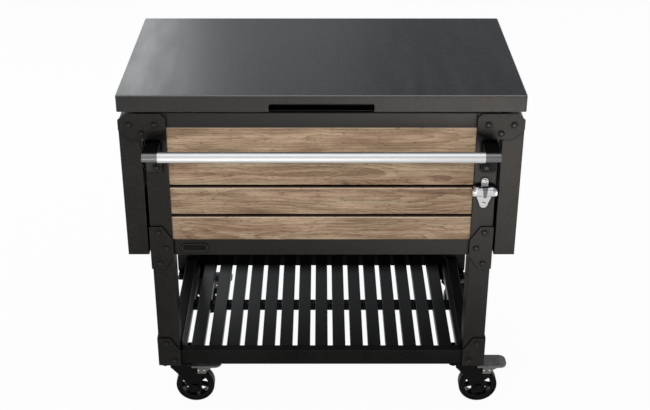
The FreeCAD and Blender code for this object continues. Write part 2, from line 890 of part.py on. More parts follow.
def leaf_bracket():
    """A plate across the leg and the leaf, with cut corners."""
    inner = leg_inner_x + bracket_inset
    top = frame_top - bracket_inset
    bottom = top - bracket_height
    points = [
        (inner + bracket_inner_cut_x, top),
        (leaf_outer_x - bracket_outer_cut_x, top),
        (leaf_outer_x, top - bracket_outer_cut_z),
        (leaf_outer_x, bottom + bracket_outer_fall),
        (leaf_outer_x - bracket_outer_run, bottom),
        (inner + bracket_inner_run, bottom),
        (inner, bottom + bracket_inner_fall),
        (inner, top - bracket_inner_cut_z),
    ]
    front = -leg_outer_y - bracket_plate
    plate = prism_y(points, front, -leg_outer_y)
    holes = [
        drill(BRACKET_BOLT, front - over, over - leg_outer_y),
        drill(STOP_BOLT, front - over, over - leg_outer_y, stop_bolt_radius + bolt_fit),
        drill((pivot_x, pivot_z), front - over, over - leg_outer_y, pivot_radius + pivot_fit),
    ]
    return plate.cut(Part.makeCompound(holes))


def leaf_pivot_bolt():
    """The bolt that a leaf turns on, with its nut inside the leaf."""
    seat = -leg_outer_y - bracket_plate
    nut_front = -leg_outer_y + leaf_end_gap + leaf_sheet + pivot_nut_gap
    nut_back = nut_front + pivot_nut_height
    pivot = bolt((pivot_x, pivot_z), seat, nut_back - seat, pivot_radius)
    return joined(pivot, rod(pivot_nut_radius, V(pivot_x, nut_front, pivot_z), V(pivot_x, nut_back, pivot_z)))


def corner_plate_solid(top, bottom, cut_top, cut_bottom, places):
    """A plate bent round the leg's front and outer faces, with its free corners cut off."""
    rim = leg_outer_x + corner_plate
    face = -leg_outer_y - corner_plate

    def cut_corners(outer, inner, step):
        points = [(outer, bottom), (outer, top)]
        points += [(inner + step, top), (inner, top - corner_cut_z)] if cut_top else [(inner, top)]
        if cut_bottom:
            return points + [(inner, bottom + corner_cut_z), (inner + step, bottom)]
        return points + [(inner, bottom)]

    front = prism_y(cut_corners(rim, leg_inner_x, corner_cut_x), face, -leg_outer_y)
    wing = prism_x(cut_corners(face, -leg_inner_y, -corner_cut_x), leg_outer_x, rim)
    plate = joined(front, wing)
    fold = [
        e
        for e in edges_along(plate, V(0, 0, 1))
        if e.BoundBox.XMin > rim - 1e-6 and e.BoundBox.YMax < face + 1e-6
    ]
    plate = plate.makeFillet(fold_radius, fold)
    return plate.cut(Part.makeCompound([drill(p, face - over, over - leg_outer_y) for p in places]))


def waist_plate():
    return corner_plate_solid(waist_top, waist_bottom, True, True, WAIST_BOLTS)


def foot_plate():
    return corner_plate_solid(foot_top, leg_bottom, True, False, FOOT_BOLTS)


def caster_bolt(place, nut_bottom):
    """A hex bolt up through the caster plate, with its nut on top of what it clamps."""
    x, y = place
    nut_top = nut_bottom + hex_height
    return joined(
        hexagon(x, y, caster_plate_bottom - hex_height, caster_plate_bottom),
        rod(bolt_radius, V(x, y, caster_plate_bottom), V(x, y, nut_top + bolt_tail)),
        hexagon(x, y, nut_bottom, nut_top),
    )


def plate_bolts():
    """Every bolt and screw of the frame that doesn't act as a pivot."""
    seat = -leg_outer_y - corner_plate
    corner = [bolt(place, seat, bolt_reach) for place in WAIST_BOLTS + FOOT_BOLTS]
    seat = -leg_outer_y - bracket_plate
    corner.append(bolt(BRACKET_BOLT, seat, bolt_reach))
    corner.append(bolt(STOP_BOLT, seat, stop_bolt_reach, stop_bolt_radius))
    corner.append(caster_bolt(RAIL_BOLT, leg_bottom + shelf_rail_wall))
    corner.extend(caster_bolt(place, leg_bottom) for place in PLATE_BOLTS)
    bolts = [to_corner(solid, side, end) for _, side, end in CORNERS for solid in corner]
    seat = -leg_outer_y - bar_bracket_base - bar_washer_height
    screw = bolt(BAR_SCREW, seat, bolt_reach + bar_bracket_base)
    bolts += [to_corner(screw, side, -1) for side in (-1, 1)]
    bolts += [bolt(place, -leg_outer_y - opener_plate, bolt_reach) for place in OPENER_SCREWS]
    return bolts


# Shelf


def box_tube_x(y0, y1, z0, z1, wall):
    """A square tube between the legs, with rounded edges."""
    outer = block(-leg_inner_x, leg_inner_x, y0, y1, z0, z1)
    outer = outer.makeFillet(rail_edge_radius, edges_along(outer, V(1, 0, 0)))
    end = leg_inner_x + over
    return outer.cut(block(-end, end, y0 + wall, y1 - wall, z0 + wall, z1 - wall))


def shelf_frame_rails():
    """Front and back rails between the legs, and side rails between front and back legs."""
    front = box_tube_x(-shelf_rail_front_y, -shelf_rail_back_y, leg_bottom, shelf_top, shelf_rail_wall)
    x, y = RAIL_BOLT
    hole = rod(
        bolt_radius + bolt_fit, V(x, y, leg_bottom - over), V(x, y, leg_bottom + shelf_rail_wall + over)
    )
    front = front.cut(hole).cut(to_corner(hole, -1, -1))
    outer_x = leg_inner_x + side_rail_width
    right = block(leg_inner_x, outer_x, -leg_inner_y, leg_inner_y, leg_bottom, shelf_top)
    right = right.makeFillet(rail_edge_radius, edges_along(right, V(0, 1, 0)))
    right = right.cut(
        block(
            leg_inner_x + shelf_rail_wall,
            outer_x - shelf_rail_wall,
            -leg_inner_y - over,
            leg_inner_y + over,
            leg_bottom + shelf_rail_wall,
            shelf_top - shelf_rail_wall,
        )
    )
    return [front, to_corner(front, 1, 1), right, to_corner(right, -1, -1)]


def shelf_slats():
    """Rectangular tubes from the front rail to the back rail, with an even slot between."""
    slot_pitch = (2 * (leg_inner_x - end_slat_width) - slot_width) / (slot_count - 1)
    first_slot = -slot_pitch * (slot_count - 1) / 2
    slots = [first_slot + i * slot_pitch for i in range(slot_count)]
    lefts = [-leg_inner_x] + [x + slot_width / 2 for x in slots]
    rights = [x - slot_width / 2 for x in slots] + [leg_inner_x]
    slats = []
    for x0, x1 in zip(lefts, rights):
        outer = block(x0, x1, -shelf_rail_back_y, shelf_rail_back_y, shelf_top - slat_height, shelf_top)
        upper = [e for e in edges_along(outer, V(0, 1, 0)) if e.BoundBox.ZMin > shelf_top - over]
        outer = outer.makeFillet(slat_edge_radius, upper)
        hollow = block(
            x0 + slat_wall,
            x1 - slat_wall,
            -shelf_rail_back_y - over,
            shelf_rail_back_y + over,
            shelf_top - slat_height + slat_wall,
            shelf_top - slat_wall,
        )
        slats.append(outer.cut(hollow))
    return slats


def shelf_cross_bar():
    top = shelf_top - slat_height
    half = cross_bar_depth / 2
    return box_tube_x(-half, half, top - cross_bar_height, top, slat_wall)


# Casters, drawn with the swivel axis at X = Y = 0 and the wheel trailing towards +X


def to_swivel(shape, side, end):
    moved = shape.copy()
    moved.translate(V(side * swivel_x, end * swivel_y, 0))
    return moved


def caster_mounting_plate():
    """The fixed part of a caster: bolting plate, bearing race and kingpin in one."""
    plate = centred(caster_plate_x / 2, caster_plate_y / 2, caster_plate_bottom, leg_bottom)
    plate = round_upright(plate, caster_plate_corner)
    holes = []
    for i in (-1, 1):
        for j in (-1, 1):
            x = i * caster_bolt_x
            y = j * caster_bolt_y
            radius = bolt_radius + bolt_fit
            holes.append(rod(radius, V(x, y, caster_plate_bottom - over), V(x, y, leg_bottom + over)))
    plate = plate.cut(Part.makeCompound(holes))
    race = rod(crown_radius, V(0, 0, race_bottom), V(0, 0, caster_plate_bottom))
    race = race.makeFillet(race_edge_radius, edges_at_height(race, race_bottom))
    head_top = yoke_bottom - swivel_gap
    pin = rod(kingpin_radius, V(0, 0, head_top), V(0, 0, caster_plate_bottom))
    head = rod(kingpin_head_radius, V(0, 0, head_top - kingpin_head), V(0, 0, head_top))
    return joined(plate, race, pin, head)


def fork_side_outline():
    """One side plate of the fork: wide under the crown, round at the axle."""
    top = yoke_top
    ear_top = pedal_bottom - pedal_clear
    ear_x = pedal_pivot_x + pedal_lug_radius
    axle = V(trail, 0, wheel_radius)
    right = axle + V(fork_end_radius, 0, 0)
    left = axle - V(fork_end_radius, 0, 0)
    shoulder = V(-fork_back, 0, ear_top)
    ear = V(ear_x, 0, pedal_pivot_z - pedal_lug_radius)
    corners = [shoulder, V(-fork_back, 0, top), V(fork_front, 0, top)]
    corners += [V(fork_front, 0, ear_top), V(ear_x, 0, ear_top), ear]
    edges = [Part.LineSegment(a, b).toShape() for a, b in zip(corners, corners[1:])]
    edges.append(Part.Arc(ear, (ear + right) * 0.5 - V(fork_waist, 0, 0), right).toShape())
    edges.append(Part.Arc(right, axle - V(0, 0, fork_end_radius), left).toShape())
    edges.append(Part.Arc(left, (left + shoulder) * 0.5 + V(fork_waist, 0, 0), shoulder).toShape())
    return Part.Face(Part.Wire(edges))


def caster_fork():
    """Crown, yoke and two side plates, with the pin that the brake pedal turns on."""
    crown = rod(crown_radius, V(0, 0, yoke_top), V(0, 0, crown_top))
    crown = crown.makeFillet(race_edge_radius, edges_at_height(crown, crown_top))
    yoke = block(-fork_back, fork_front, -fork_outer_y, fork_outer_y, yoke_bottom, yoke_top)
    sides = []
    for y in (-fork_outer_y, fork_inner_y):
        side = fork_side_outline().extrude(V(0, fork_plate, 0))
        side.translate(V(0, y, 0))
        sides.append(side)
    ends = fork_inner_y + over
    pin = rod(
        pedal_pin_radius, V(pedal_pivot_x, -ends, pedal_pivot_z), V(pedal_pivot_x, ends, pedal_pivot_z)
    )
    fork = joined(crown, yoke, pin, *sides)
    bore = rod(kingpin_radius + shaft_fit, V(0, 0, yoke_bottom - over), V(0, 0, crown_top + over))
    reach = fork_outer_y + over
    axle_hole = rod(
        axle_radius + shaft_fit, V(trail, -reach, wheel_radius), V(trail, reach, wheel_radius)
    )
    return fork.cut(bore).cut(axle_hole)


def caster_axle():
    near = -fork_outer_y
    far = fork_outer_y
    shaft = rod(axle_radius, V(trail, near, wheel_radius), V(trail, far, wheel_radius))
    head = rod(axle_head_radius, V(trail, near - axle_head, wheel_radius), V(trail, near, wheel_radius))
    nut = rod(axle_head_radius, V(trail, far, wheel_radius), V(trail, far + axle_head, wheel_radius))
    return joined(shaft, head, nut)


def caster_wheel():
    """An open wheel: hub, spokes and rim."""
    centre = V(trail, 0, wheel_radius)

    def disc(radius, width):
        return rod(radius, centre - V(0, width / 2, 0), centre + V(0, width / 2, 0))

    rim_radius = wheel_radius - tyre_thickness
    inner_radius = rim_radius - rim_thickness
    rim = disc(rim_radius, rim_width).cut(disc(inner_radius, rim_width + over))
    spokes = []
    for i in range(spoke_count):
        spoke = block(
            trail + hub_radius / 2,
            trail + inner_radius + rim_thickness / 2,
            -spoke_depth / 2,
            spoke_depth / 2,
            wheel_radius - spoke_width / 2,
            wheel_radius + spoke_width / 2,
        )
        spoke.rotate(centre, V(0, 1, 0), 360 * i / spoke_count - 90)
        spokes.append(spoke)
    hub = disc(hub_radius, hub_width)
    hub = hub.makeChamfer(hub_edge, [e for e in hub.Edges if e.Closed])
    wheel = joined(hub, rim, *spokes)
    return wheel.cut(disc(axle_radius + shaft_fit, hub_width + over))


def caster_tyre():
    """A solid tyre with rounded shoulders."""
    half = wheel_width / 2
    inner = wheel_radius - tyre_thickness + tyre_fit
    seat = rim_width / 2
    shoulder = wheel_radius - tyre_shoulder
    bend = tyre_shoulder * (1 - math.sqrt(0.5))
    points = {
        "seat_left": V(0, -seat, inner),
        "side_left": V(0, -half, shoulder),
        "tread_left": V(0, tyre_shoulder - half, wheel_radius),
        "tread_right": V(0, half - tyre_shoulder, wheel_radius),
        "side_right": V(0, half, shoulder),
        "seat_right": V(0, seat, inner),
    }
    left_mid = V(0, bend - half, wheel_radius - bend)
    right_mid = V(0, half - bend, wheel_radius - bend)
    edges = [
        Part.LineSegment(points["seat_left"], points["side_left"]).toShape(),
        Part.Arc(points["side_left"], left_mid, points["tread_left"]).toShape(),
        Part.LineSegment(points["tread_left"], points["tread_right"]).toShape(),
        Part.Arc(points["tread_right"], right_mid, points["side_right"]).toShape(),
        Part.LineSegment(points["side_right"], points["seat_right"]).toShape(),
        Part.LineSegment(points["seat_right"], points["seat_left"]).toShape(),
    ]
    tyre = Part.Face(Part.Wire(edges)).revolve(V(0, 0, 0), V(0, 1, 0), 360)
    tyre.translate(V(trail, 0, wheel_radius))
    return tyre


def pedal_skirt_side(y0):
    """One side wall of the pedal: deep beside the wheel, running out in a curve to the tip."""
    low = pedal_bottom - pedal_skirt_depth
    turn = V(pedal_skirt_turn, y0, low)
    tip = V(pedal_skirt_tip, y0, pedal_bottom)
    inside_plate = (pedal_bottom + pedal_top) / 2
    corners = [tip, V(pedal_skirt_tip, y0, inside_plate), V(pedal_skirt_root, y0, inside_plate)]
    corners += [V(pedal_skirt_root, y0, low), turn]
    edges = [Part.LineSegment(a, b).toShape() for a, b in zip(corners, corners[1:])]
    edges.append(Part.Arc(turn, (turn + tip) * 0.5 + V(-pedal_skirt_sag, 0, pedal_skirt_sag), tip).toShape())
    return Part.Face(Part.Wire(edges)).extrude(V(0, pedal_skirt, 0))


def brake_pedal():
    """A foot plate with side walls and grips, lugs on the fork's pin and a shoe for the tyre."""
    half = pedal_width / 2
    plate = block(pedal_root, pedal_reach, -half, half, pedal_bottom, pedal_top)
    tip = [e for e in edges_along(plate, V(0, 0, 1)) if e.BoundBox.XMin > pedal_reach - over]
    plate = plate.makeFillet(pedal_corner, tip)
    wall = half - pedal_lip
    walls = [pedal_skirt_side(-wall), pedal_skirt_side(wall - pedal_skirt)]
    grips = []
    for i in range(pedal_grips):
        x = pedal_reach - pedal_corner - i * pedal_grip_pitch
        end = half - pedal_grip_inset
        z = pedal_top - pedal_grip_sink
        grips.append(rod(pedal_grip_radius, V(x, -end, z), V(x, end, z)))
    lugs = []
    outer = fork_inner_y - pedal_lug_gap
    for y0 in (-outer, outer - pedal_lug_width):
        y1 = y0 + pedal_lug_width
        lugs.append(
            rod(pedal_lug_radius, V(pedal_pivot_x, y0, pedal_pivot_z), V(pedal_pivot_x, y1, pedal_pivot_z))
        )
        x0 = pedal_pivot_x - pedal_lug_radius
        x1 = pedal_pivot_x + pedal_lug_radius
        lugs.append(block(x0, x1, y0, y1, pedal_pivot_z, pedal_bottom))
    shoe_x = pedal_pivot_x + shoe_offset
    reach = wheel_radius + shoe_gap
    low_x = shoe_x - shoe_half - trail
    shoe_bottom = wheel_radius + math.sqrt(reach ** 2 - low_x ** 2)
    shoe = block(
        shoe_x - shoe_half,
        shoe_x + shoe_half,
        -outer + pedal_lug_width,
        outer - pedal_lug_width,
        shoe_bottom,
        pedal_bottom,
    )
    hole_end = outer + over
    bore = rod(
        pedal_pin_radius + shaft_fit,
        V(pedal_pivot_x, -hole_end, pedal_pivot_z),
        V(pedal_pivot_x, hole_end, pedal_pivot_z),
    )
    return joined(plate, shoe, *(walls + grips + lugs)).cut(bore)


def main():
    os.makedirs("parts", exist_ok=True)
    for name, side, end in CORNERS:
        save("leg_" + name, [leg(side, end)])
    save("front_top_rail", [front_top_rail()])
    save("front_bottom_rail", [front_bottom_rail()])
    for i in range(plank_count):
        save("front_plank_%d" % (i + 1), [front_plank(i)])
    save("front_backing_panel", [front_backing_panel()])
    save("back_panel", [back_panel()])
    save("side_panels", [side_panel(-1), side_panel(1)])
    save("bottom_pan", [bottom_pan()])
    save("tub_foam", [tub_foam()])
    save("cooler_tub", [cooler_tub()])
    save("drain_spout", [drain_spout()])
    save("drain_cap", [drain_cap()])
    save("lid_shell", [lid_shell()])
    save("lid_liner", [lid_liner()])
    save("lid_foam", [lid_foam()])
    save("lid_gasket", [lid_gasket()])
    hinge_places = (-hinge_offset_x, hinge_offset_x)
    save("hinge_frame_leaves", [hinge_frame_leaf(x) for x in hinge_places])
    save("hinge_lid_leaves", [hinge_lid_leaf(x) for x in hinge_places])
    save("hinge_pins", [hinge_pin(x) for x in hinge_places])
    save("towel_bar", [towel_bar()])
    save("towel_bar_brackets", [towel_bar_bracket(-1), towel_bar_bracket(1)])
    save("bottle_opener", [bottle_opener()])
    save("left_drop_leaf", [drop_leaf(-1)])
    save("right_drop_leaf", [drop_leaf(1)])
    save("leaf_brackets", at_all_corners(leaf_bracket()))
    save("leaf_pivot_bolts", at_all_corners(leaf_pivot_bolt()))
    save("waist_plates", at_all_corners(waist_plate()))
    save("foot_plates", at_all_corners(foot_plate()))
    save("plate_bolts", plate_bolts())
    save("shelf_frame_rails", shelf_frame_rails())
    save("shelf_slats", shelf_slats())
    save("shelf_cross_bar", [shelf_cross_bar()])
    mounting_plate = caster_mounting_plate()
    save("caster_plates", [to_swivel(mounting_plate, side, end) for _, side, end in CORNERS])
    moving = {
        "fork": caster_fork(),
        "axle": caster_axle(),
        "wheel": caster_wheel(),
        "tyre": caster_tyre(),
        "pedal": brake_pedal(),
    }
    for name, side, end in CORNERS:
        for piece, shape in moving.items():
            save("caster_%s_%s" % (piece, name), [to_swivel(shape, side, end)])


main()
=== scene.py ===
# %% [markdown]
# # Patio cooler cart
# The solids of the cart come ready-made in a frame, each at its true size and place in
# metres. This lesson gives them their finishes, models the small fittings that the solids
# leave plain, and sets up the light and the camera. Every step is one short cell.

# %% Load the frame
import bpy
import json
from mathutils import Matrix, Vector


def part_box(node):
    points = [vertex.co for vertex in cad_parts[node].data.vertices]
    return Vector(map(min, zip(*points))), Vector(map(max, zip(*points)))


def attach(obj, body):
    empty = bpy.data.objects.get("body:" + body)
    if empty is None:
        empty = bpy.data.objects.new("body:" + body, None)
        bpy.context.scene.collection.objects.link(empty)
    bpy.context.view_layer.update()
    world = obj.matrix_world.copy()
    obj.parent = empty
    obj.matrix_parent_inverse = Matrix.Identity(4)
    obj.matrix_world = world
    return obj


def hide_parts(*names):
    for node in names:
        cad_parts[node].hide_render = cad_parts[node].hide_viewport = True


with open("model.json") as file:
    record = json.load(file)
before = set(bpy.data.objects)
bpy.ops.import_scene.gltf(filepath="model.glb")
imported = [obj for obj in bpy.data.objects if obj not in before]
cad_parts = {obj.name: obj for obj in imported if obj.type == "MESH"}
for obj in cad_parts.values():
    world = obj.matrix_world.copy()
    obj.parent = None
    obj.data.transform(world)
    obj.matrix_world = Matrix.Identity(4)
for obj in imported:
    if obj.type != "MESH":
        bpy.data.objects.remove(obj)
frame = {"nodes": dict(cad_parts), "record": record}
print(len(frame["nodes"]), "solids in the frame")

# %% [markdown]
# The solids are looked up by name, with the material slot of each, the millimetre is set as
# the unit, and the picture uses the standard view transform.

# %% Solids, slots and units
import json
import math
import bmesh
import bpy
from mathutils import Vector

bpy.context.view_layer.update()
NODES = frame["nodes"]
SLOT_OF = {part["node"]: part["material_slot"] for part in frame["record"]["subparts"]}
MM = 0.001
bpy.context.scene.view_settings.view_transform = "Standard"

# %% [markdown]
# ## Camera
# The picture looks down on the cart from in front. A camera's lens in millimetres follows
# from its focal length in pixels and the width of the picture, because the sensor is as
# wide as the picture. The cart stands a few pixels left of the middle, which a small
# shift of the lens gives without turning the camera.

# %% Camera
IMAGE_WIDTH = 650
FOCAL_PIXELS = 1210.8
MIDDLE_PIXEL = 321.4
SENSOR_WIDTH = 36.0
CAMERA_PLACE = (0.0, -2.917, 1.997)
CAMERA_DOWN = math.radians(27.49)

camera_data = bpy.data.cameras.new("photo_camera")
camera = bpy.data.objects.new("photo_camera", camera_data)
bpy.context.scene.collection.objects.link(camera)
camera_data.sensor_width = SENSOR_WIDTH
camera_data.lens = SENSOR_WIDTH * FOCAL_PIXELS / IMAGE_WIDTH
camera_data.shift_x = (IMAGE_WIDTH / 2 - MIDDLE_PIXEL) / IMAGE_WIDTH
camera.location = CAMERA_PLACE
camera.rotation_euler = (math.pi / 2 - CAMERA_DOWN, 0.0, 0.0)
bpy.context.scene.camera = camera
print("lens", round(camera_data.lens, 2), "mm")

# %% [markdown]
# ## Small helpers for node trees
# A finish is a tree of shader nodes. One helper adds a node and fills its inputs, with a
# link where the value comes from another node and with a plain number where it doesn't. The
# others start a material, start and end a node group, and feed values to a shader.

# %% Start trees and add nodes
def add_node(tree, kind, place=(0, 0), inputs=None, **settings):
    node = tree.nodes.new(kind)
    node.location = place
    for name, value in settings.items():
        setattr(node, name, value)
    for name, value in (inputs or {}).items():
        if isinstance(value, bpy.types.NodeSocket):
            tree.links.new(value, node.inputs[name])
        else:
            node.inputs[name].default_value = value
    return node


def start_material(name, roughness=0.5, metallic=0.0, specular=0.5):
    material = bpy.data.materials.new(name)
    material.use_nodes = True
    shader = material.node_tree.nodes["Principled BSDF"]
    shader.inputs["Roughness"].default_value = roughness
    shader.inputs["Metallic"].default_value = metallic
    shader.inputs["Specular IOR Level"].default_value = specular
    return material, material.node_tree, shader


def socket_kind(is_vector):
    return "NodeSocketVector" if is_vector else "NodeSocketFloat"


def start_group(name, inputs, outputs):
    group = bpy.data.node_groups.new(name, "ShaderNodeTree")
    for label, value in inputs.items():
        kind = socket_kind(isinstance(value, tuple))
        group.interface.new_socket(name=label, in_out="INPUT", socket_type=kind).default_value = value
    for label in outputs:
        group.interface.new_socket(name=label, in_out="OUTPUT", socket_type=socket_kind(label == "Normal"))
    return group, add_node(group, "NodeGroupInput", (-900, 0)).outputs


def end_group(group, values):
    result = add_node(group, "NodeGroupOutput", (900, 0), values)
    print("group", group.name, "puts out", [socket.name for socket in result.inputs if socket.name])


def feed(shader, values):
    for name, socket in values.items():
        shader.id_data.links.new(socket, shader.inputs[name])


print(len(bpy.data.materials), "plain materials came with the frame")


# %% [markdown]
# The nodes that come up again and again get a helper each. These work on values: sums, mixed
# colours, and a value that is spread from one range to another. A noise mostly stays between
# 0.3 and 0.7, so those are the ends that it is spread from.

# %% Sums, mixes and spreads
NOISE_RANGE = (0.3, 0.7)


def two_inputs(first, second):
    return {0: first} if second is None else {0: first, 1: second}


def math_node(tree, operation, first, second=None, place=(0, 0), clamp=False):
    values = two_inputs(first, second)
    return add_node(tree, "ShaderNodeMath", place, values, operation=operation, use_clamp=clamp).outputs[0]


def vector_node(tree, operation, first, second=None, place=(0, 0)):
    node = add_node(tree, "ShaderNodeVectorMath", place, two_inputs(first, second), operation=operation)
    return node.outputs["Value" if operation in ("LENGTH", "DOT_PRODUCT") else "Vector"]


def blend_colors(tree, factor, first, second, place=(0, 0), **settings):
    values = {"Factor": factor, "A": first, "B": second}
    return add_node(tree, "ShaderNodeMix", place, values, data_type="RGBA", **settings).outputs["Result"]


def spread(tree, value, low, high, to_low, to_high, place=(0, 0)):
    values = {"Value": value, "From Min": low, "From Max": high, "To Min": to_low, "To Max": to_high}
    return add_node(tree, "ShaderNodeMapRange", place, values).outputs["Result"]


print("noise is spread from", NOISE_RANGE)


# %% [markdown]
# These make patterns. A pattern stays in its place on a piece when it reads the piece's own
# coordinates, and it is drawn out along an axis when that axis is scaled down first. A bump
# turns a pattern into a normal. Two more functions write greys.

# %% Patterns and greys
def noise(tree, vector, scale, detail, roughness, place=(0, 0)):
    values = {"Vector": vector, "Scale": scale, "Detail": detail, "Roughness": roughness}
    return add_node(tree, "ShaderNodeTexNoise", place, values).outputs


def bumped(tree, values, place=(-200, -300)):
    return add_node(tree, "ShaderNodeBump", place, values).outputs["Normal"]


def object_place(tree, place=(-900, 0)):
    return add_node(tree, "ShaderNodeTexCoord", place).outputs["Object"]


def stretched(tree, vector, scale, place=(-700, 0)):
    return add_node(tree, "ShaderNodeMapping", place, {"Vector": vector, "Scale": scale}).outputs["Vector"]


def axes(tree, vector, place=(-700, 0)):
    return add_node(tree, "ShaderNodeSeparateXYZ", place, {"Vector": vector}).outputs


def neutral(level):
    return (level, level, level, 1.0)


def grey(level):
    """A grey with a little warmth, as the black coat has."""
    return (level, level * 0.97, level * 0.93, 1.0)


print("a grey of 0.1 is", [round(part, 3) for part in grey(0.1)])


# %% [markdown]
# ## A coat of powder
# Powder-coated steel isn't smooth: the melted grains leave a fine orange peel, hands leave
# soft cloudy patches, and along folded edges the coat is a little brighter, partly because it
# is thinner there and partly as a painted highlight. All the black pieces share these effects,
# so they are one node group whose inputs set the scales.
# The edge mask compares the true normal with one rounded by the Bevel node: they differ only
# beside an edge. The seam mask is the shade that near surfaces cast on each other.

# %% Coat group
EDGE_GAIN = 5.0
# Detail and roughness of the noises.
PEEL_NOISE = (2.0, 0.6)
CLOUD_NOISE = (6.0, 0.62)


def make_coat_group():
    group, given = start_group(
        "coat_surface",
        {
            "Grain Scale": 900.0,
            "Fleck Scale": 260.0,
            "Cloud Scale": 6.0,
            "Cloud Stretch": (1.0, 1.0, 1.0),
            "Edge Width": 1.5 * MM,
            "Seam Width": 9.0 * MM,
        },
        ("Grain", "Fleck", "Cloud", "Edge", "Seam", "Normal"),
    )
    place = object_place(group)
    drawn = stretched(group, place, given["Cloud Stretch"])
    bevel = add_node(group, "ShaderNodeBevel", (-400, -300), {"Radius": given["Edge Width"]}, samples=6)
    rounded = bevel.outputs["Normal"]
    flat = add_node(group, "ShaderNodeNewGeometry", (-400, -500)).outputs["True Normal"]
    match = vector_node(group, "DOT_PRODUCT", rounded, flat, (-150, -400))
    apart = math_node(group, "SUBTRACT", 1.0, match, (50, -400))
    reach = {"Distance": given["Seam Width"]}
    nearby = add_node(group, "ShaderNodeAmbientOcclusion", (-150, -650), reach, samples=8)
    end_group(group, {
        "Grain": noise(group, place, given["Grain Scale"], *PEEL_NOISE, (-400, 300))["Fac"],
        "Fleck": noise(group, place, given["Fleck Scale"], *PEEL_NOISE, (-400, 150))["Fac"],
        "Cloud": noise(group, drawn, given["Cloud Scale"], *CLOUD_NOISE, (-400, 0))["Fac"],
        "Edge": math_node(group, "MULTIPLY", apart, EDGE_GAIN, (250, -400), clamp=True),
        "Seam": math_node(group, "SUBTRACT", 1.0, nearby.outputs["AO"], (50, -650)),
        "Normal": rounded,
    })
    return group


COAT = make_coat_group()


# %% [markdown]
# The coated finishes are one function with different values: the frame, the worktop, the
# castings, the casters and the fasteners. Colour runs between a dark and a lighter tone with
# the clouds and flecks, edges get a lighter tone, partly wear and partly a painted highlight,
# and the grain goes into a Bump node. Seams are painted black as shade, without any gloss. A
# surface that is fully metallic and black mirrors nothing, so the seam mask goes to Metallic
# as well as to the colour.

# %% Coated metal
CLOUD_RANGE = (0.35, 0.68)
CLOUD_SHARE = (0.0, 0.6)
FLECK_RANGE = (0.38, 0.62)
FLECK_SHARE = (-0.15, 0.5)
EDGE_WEAR_AND_HIGHLIGHT = 0.6
SEAM_SHADE_GAIN = 2.4
SEAM_SHADE_COLOR = neutral(0.002)
WARM_GLOSS = (1.0, 0.95, 0.90, 1.0)
UNEVEN_COAT = 0.06
COAT_BUMP = 0.35


def coated_metal(name, dark, light, edge, roughness, specular, grain=0.04 * MM, coat_inputs=None):
    material, tree, shader = start_material(name, specular=specular)
    shader.inputs["Specular Tint"].default_value = WARM_GLOSS
    coat = add_node(tree, "ShaderNodeGroup", (-900, 0), coat_inputs, node_tree=COAT).outputs
    cloudy = spread(tree, coat["Cloud"], *CLOUD_RANGE, *CLOUD_SHARE, (-650, 200))
    flecked = spread(tree, coat["Fleck"], *FLECK_RANGE, *FLECK_SHARE, (-650, 50))
    tone = math_node(tree, "ADD", cloudy, flecked, (-520, 120), clamp=True)
    body = blend_colors(tree, tone, dark, light, (-400, 200))
    # Edges turn lighter, partly as wear and partly as a painted highlight.
    worn_and_lit = math_node(tree, "MULTIPLY", coat["Edge"], EDGE_WEAR_AND_HIGHLIGHT, (-650, 400))
    bright = blend_colors(tree, worn_and_lit, body, edge, (-300, 300))
    # Painted shade: where near surfaces shade each other, the coat goes black and loses its gloss.
    seam_shade = math_node(tree, "MULTIPLY", coat["Seam"], SEAM_SHADE_GAIN, (-450, 450), clamp=True)
    gloss = (roughness - UNEVEN_COAT, roughness + UNEVEN_COAT)
    peel = {"Height": coat["Grain"], "Normal": coat["Normal"], "Strength": COAT_BUMP, "Distance": grain}
    feed(shader, {
        "Base Color": blend_colors(tree, seam_shade, bright, SEAM_SHADE_COLOR, (-100, 300)),
        "Metallic": seam_shade,
        "Roughness": spread(tree, coat["Cloud"], *NOISE_RANGE, *gloss, (-400, -50)),
        "Normal": bumped(tree, peel),
    })
    return material


print("seams are black from a shade of", round(1 / SEAM_SHADE_GAIN, 2))


# %% [markdown]
# Each black finish is a row of values, so that they are easy to compare. The frame is nearly
# plain, and the pedals are a lighter grey. The worktop has a coarser grain, clouds that are
# drawn out from front to back, as wiping leaves them, and wider edges that are partly worn and
# partly painted lighter as a highlight.

# %% Coated finishes
# Each row: dark tone, light tone, tone of worn and highlighted edges, roughness, specular level.
COATED = {
    "powder_coated_steel": (0.001, 0.011, 0.08, 0.42, 0.155),
    "rail_steel": (0.001, 0.012, 0.08, 0.42, 0.20),
    "shelf_black": (0.006, 0.014, 0.16, 0.36, 0.02),
    "slat_black": (0.001, 0.006, 0.05, 0.34, 0.0),
    "hinge_steel": (0.012, 0.022, 0.05, 0.42, 0.2),
    "bracket_casting": (0.002, 0.006, 0.10, 0.30, 0.25),
    "black_fasteners": (0.004, 0.012, 0.06, 0.42, 0.2),
    "caster_steel": (0.001, 0.004, 0.06, 0.30, 0.06),
    "pedal_grey": (0.085, 0.20, 0.34, 0.38, 0.3),
}
COAT_INPUTS = {
    "shelf_black": {"Edge Width": 2.2 * MM},
    "black_fasteners": {"Edge Width": 0.6 * MM},
    "worktop_steel": {
        "Grain Scale": 260.0,
        "Cloud Scale": 26.0,
        "Cloud Stretch": (1.0, 0.14, 0.20),
        "Edge Width": 3.0 * MM,
        # A wide seam reach paints shade into the finger pocket.
        "Seam Width": 30.0 * MM,
    },
}
finishes = {}
for name, (dark, light, edge, roughness, specular) in COATED.items():
    tones = (grey(dark), grey(light), grey(edge))
    finishes[name] = coated_metal(name, *tones, roughness, specular, coat_inputs=COAT_INPUTS.get(name))
finishes["worktop_steel"] = coated_metal(
    "worktop_steel", (0.003, 0.003, 0.004, 1.0), (0.036, 0.036, 0.040, 1.0), grey(0.16), 0.37, 0.165,
    grain=0.12 * MM, coat_inputs=COAT_INPUTS["worktop_steel"],
)
print(len(finishes), "coated finishes")
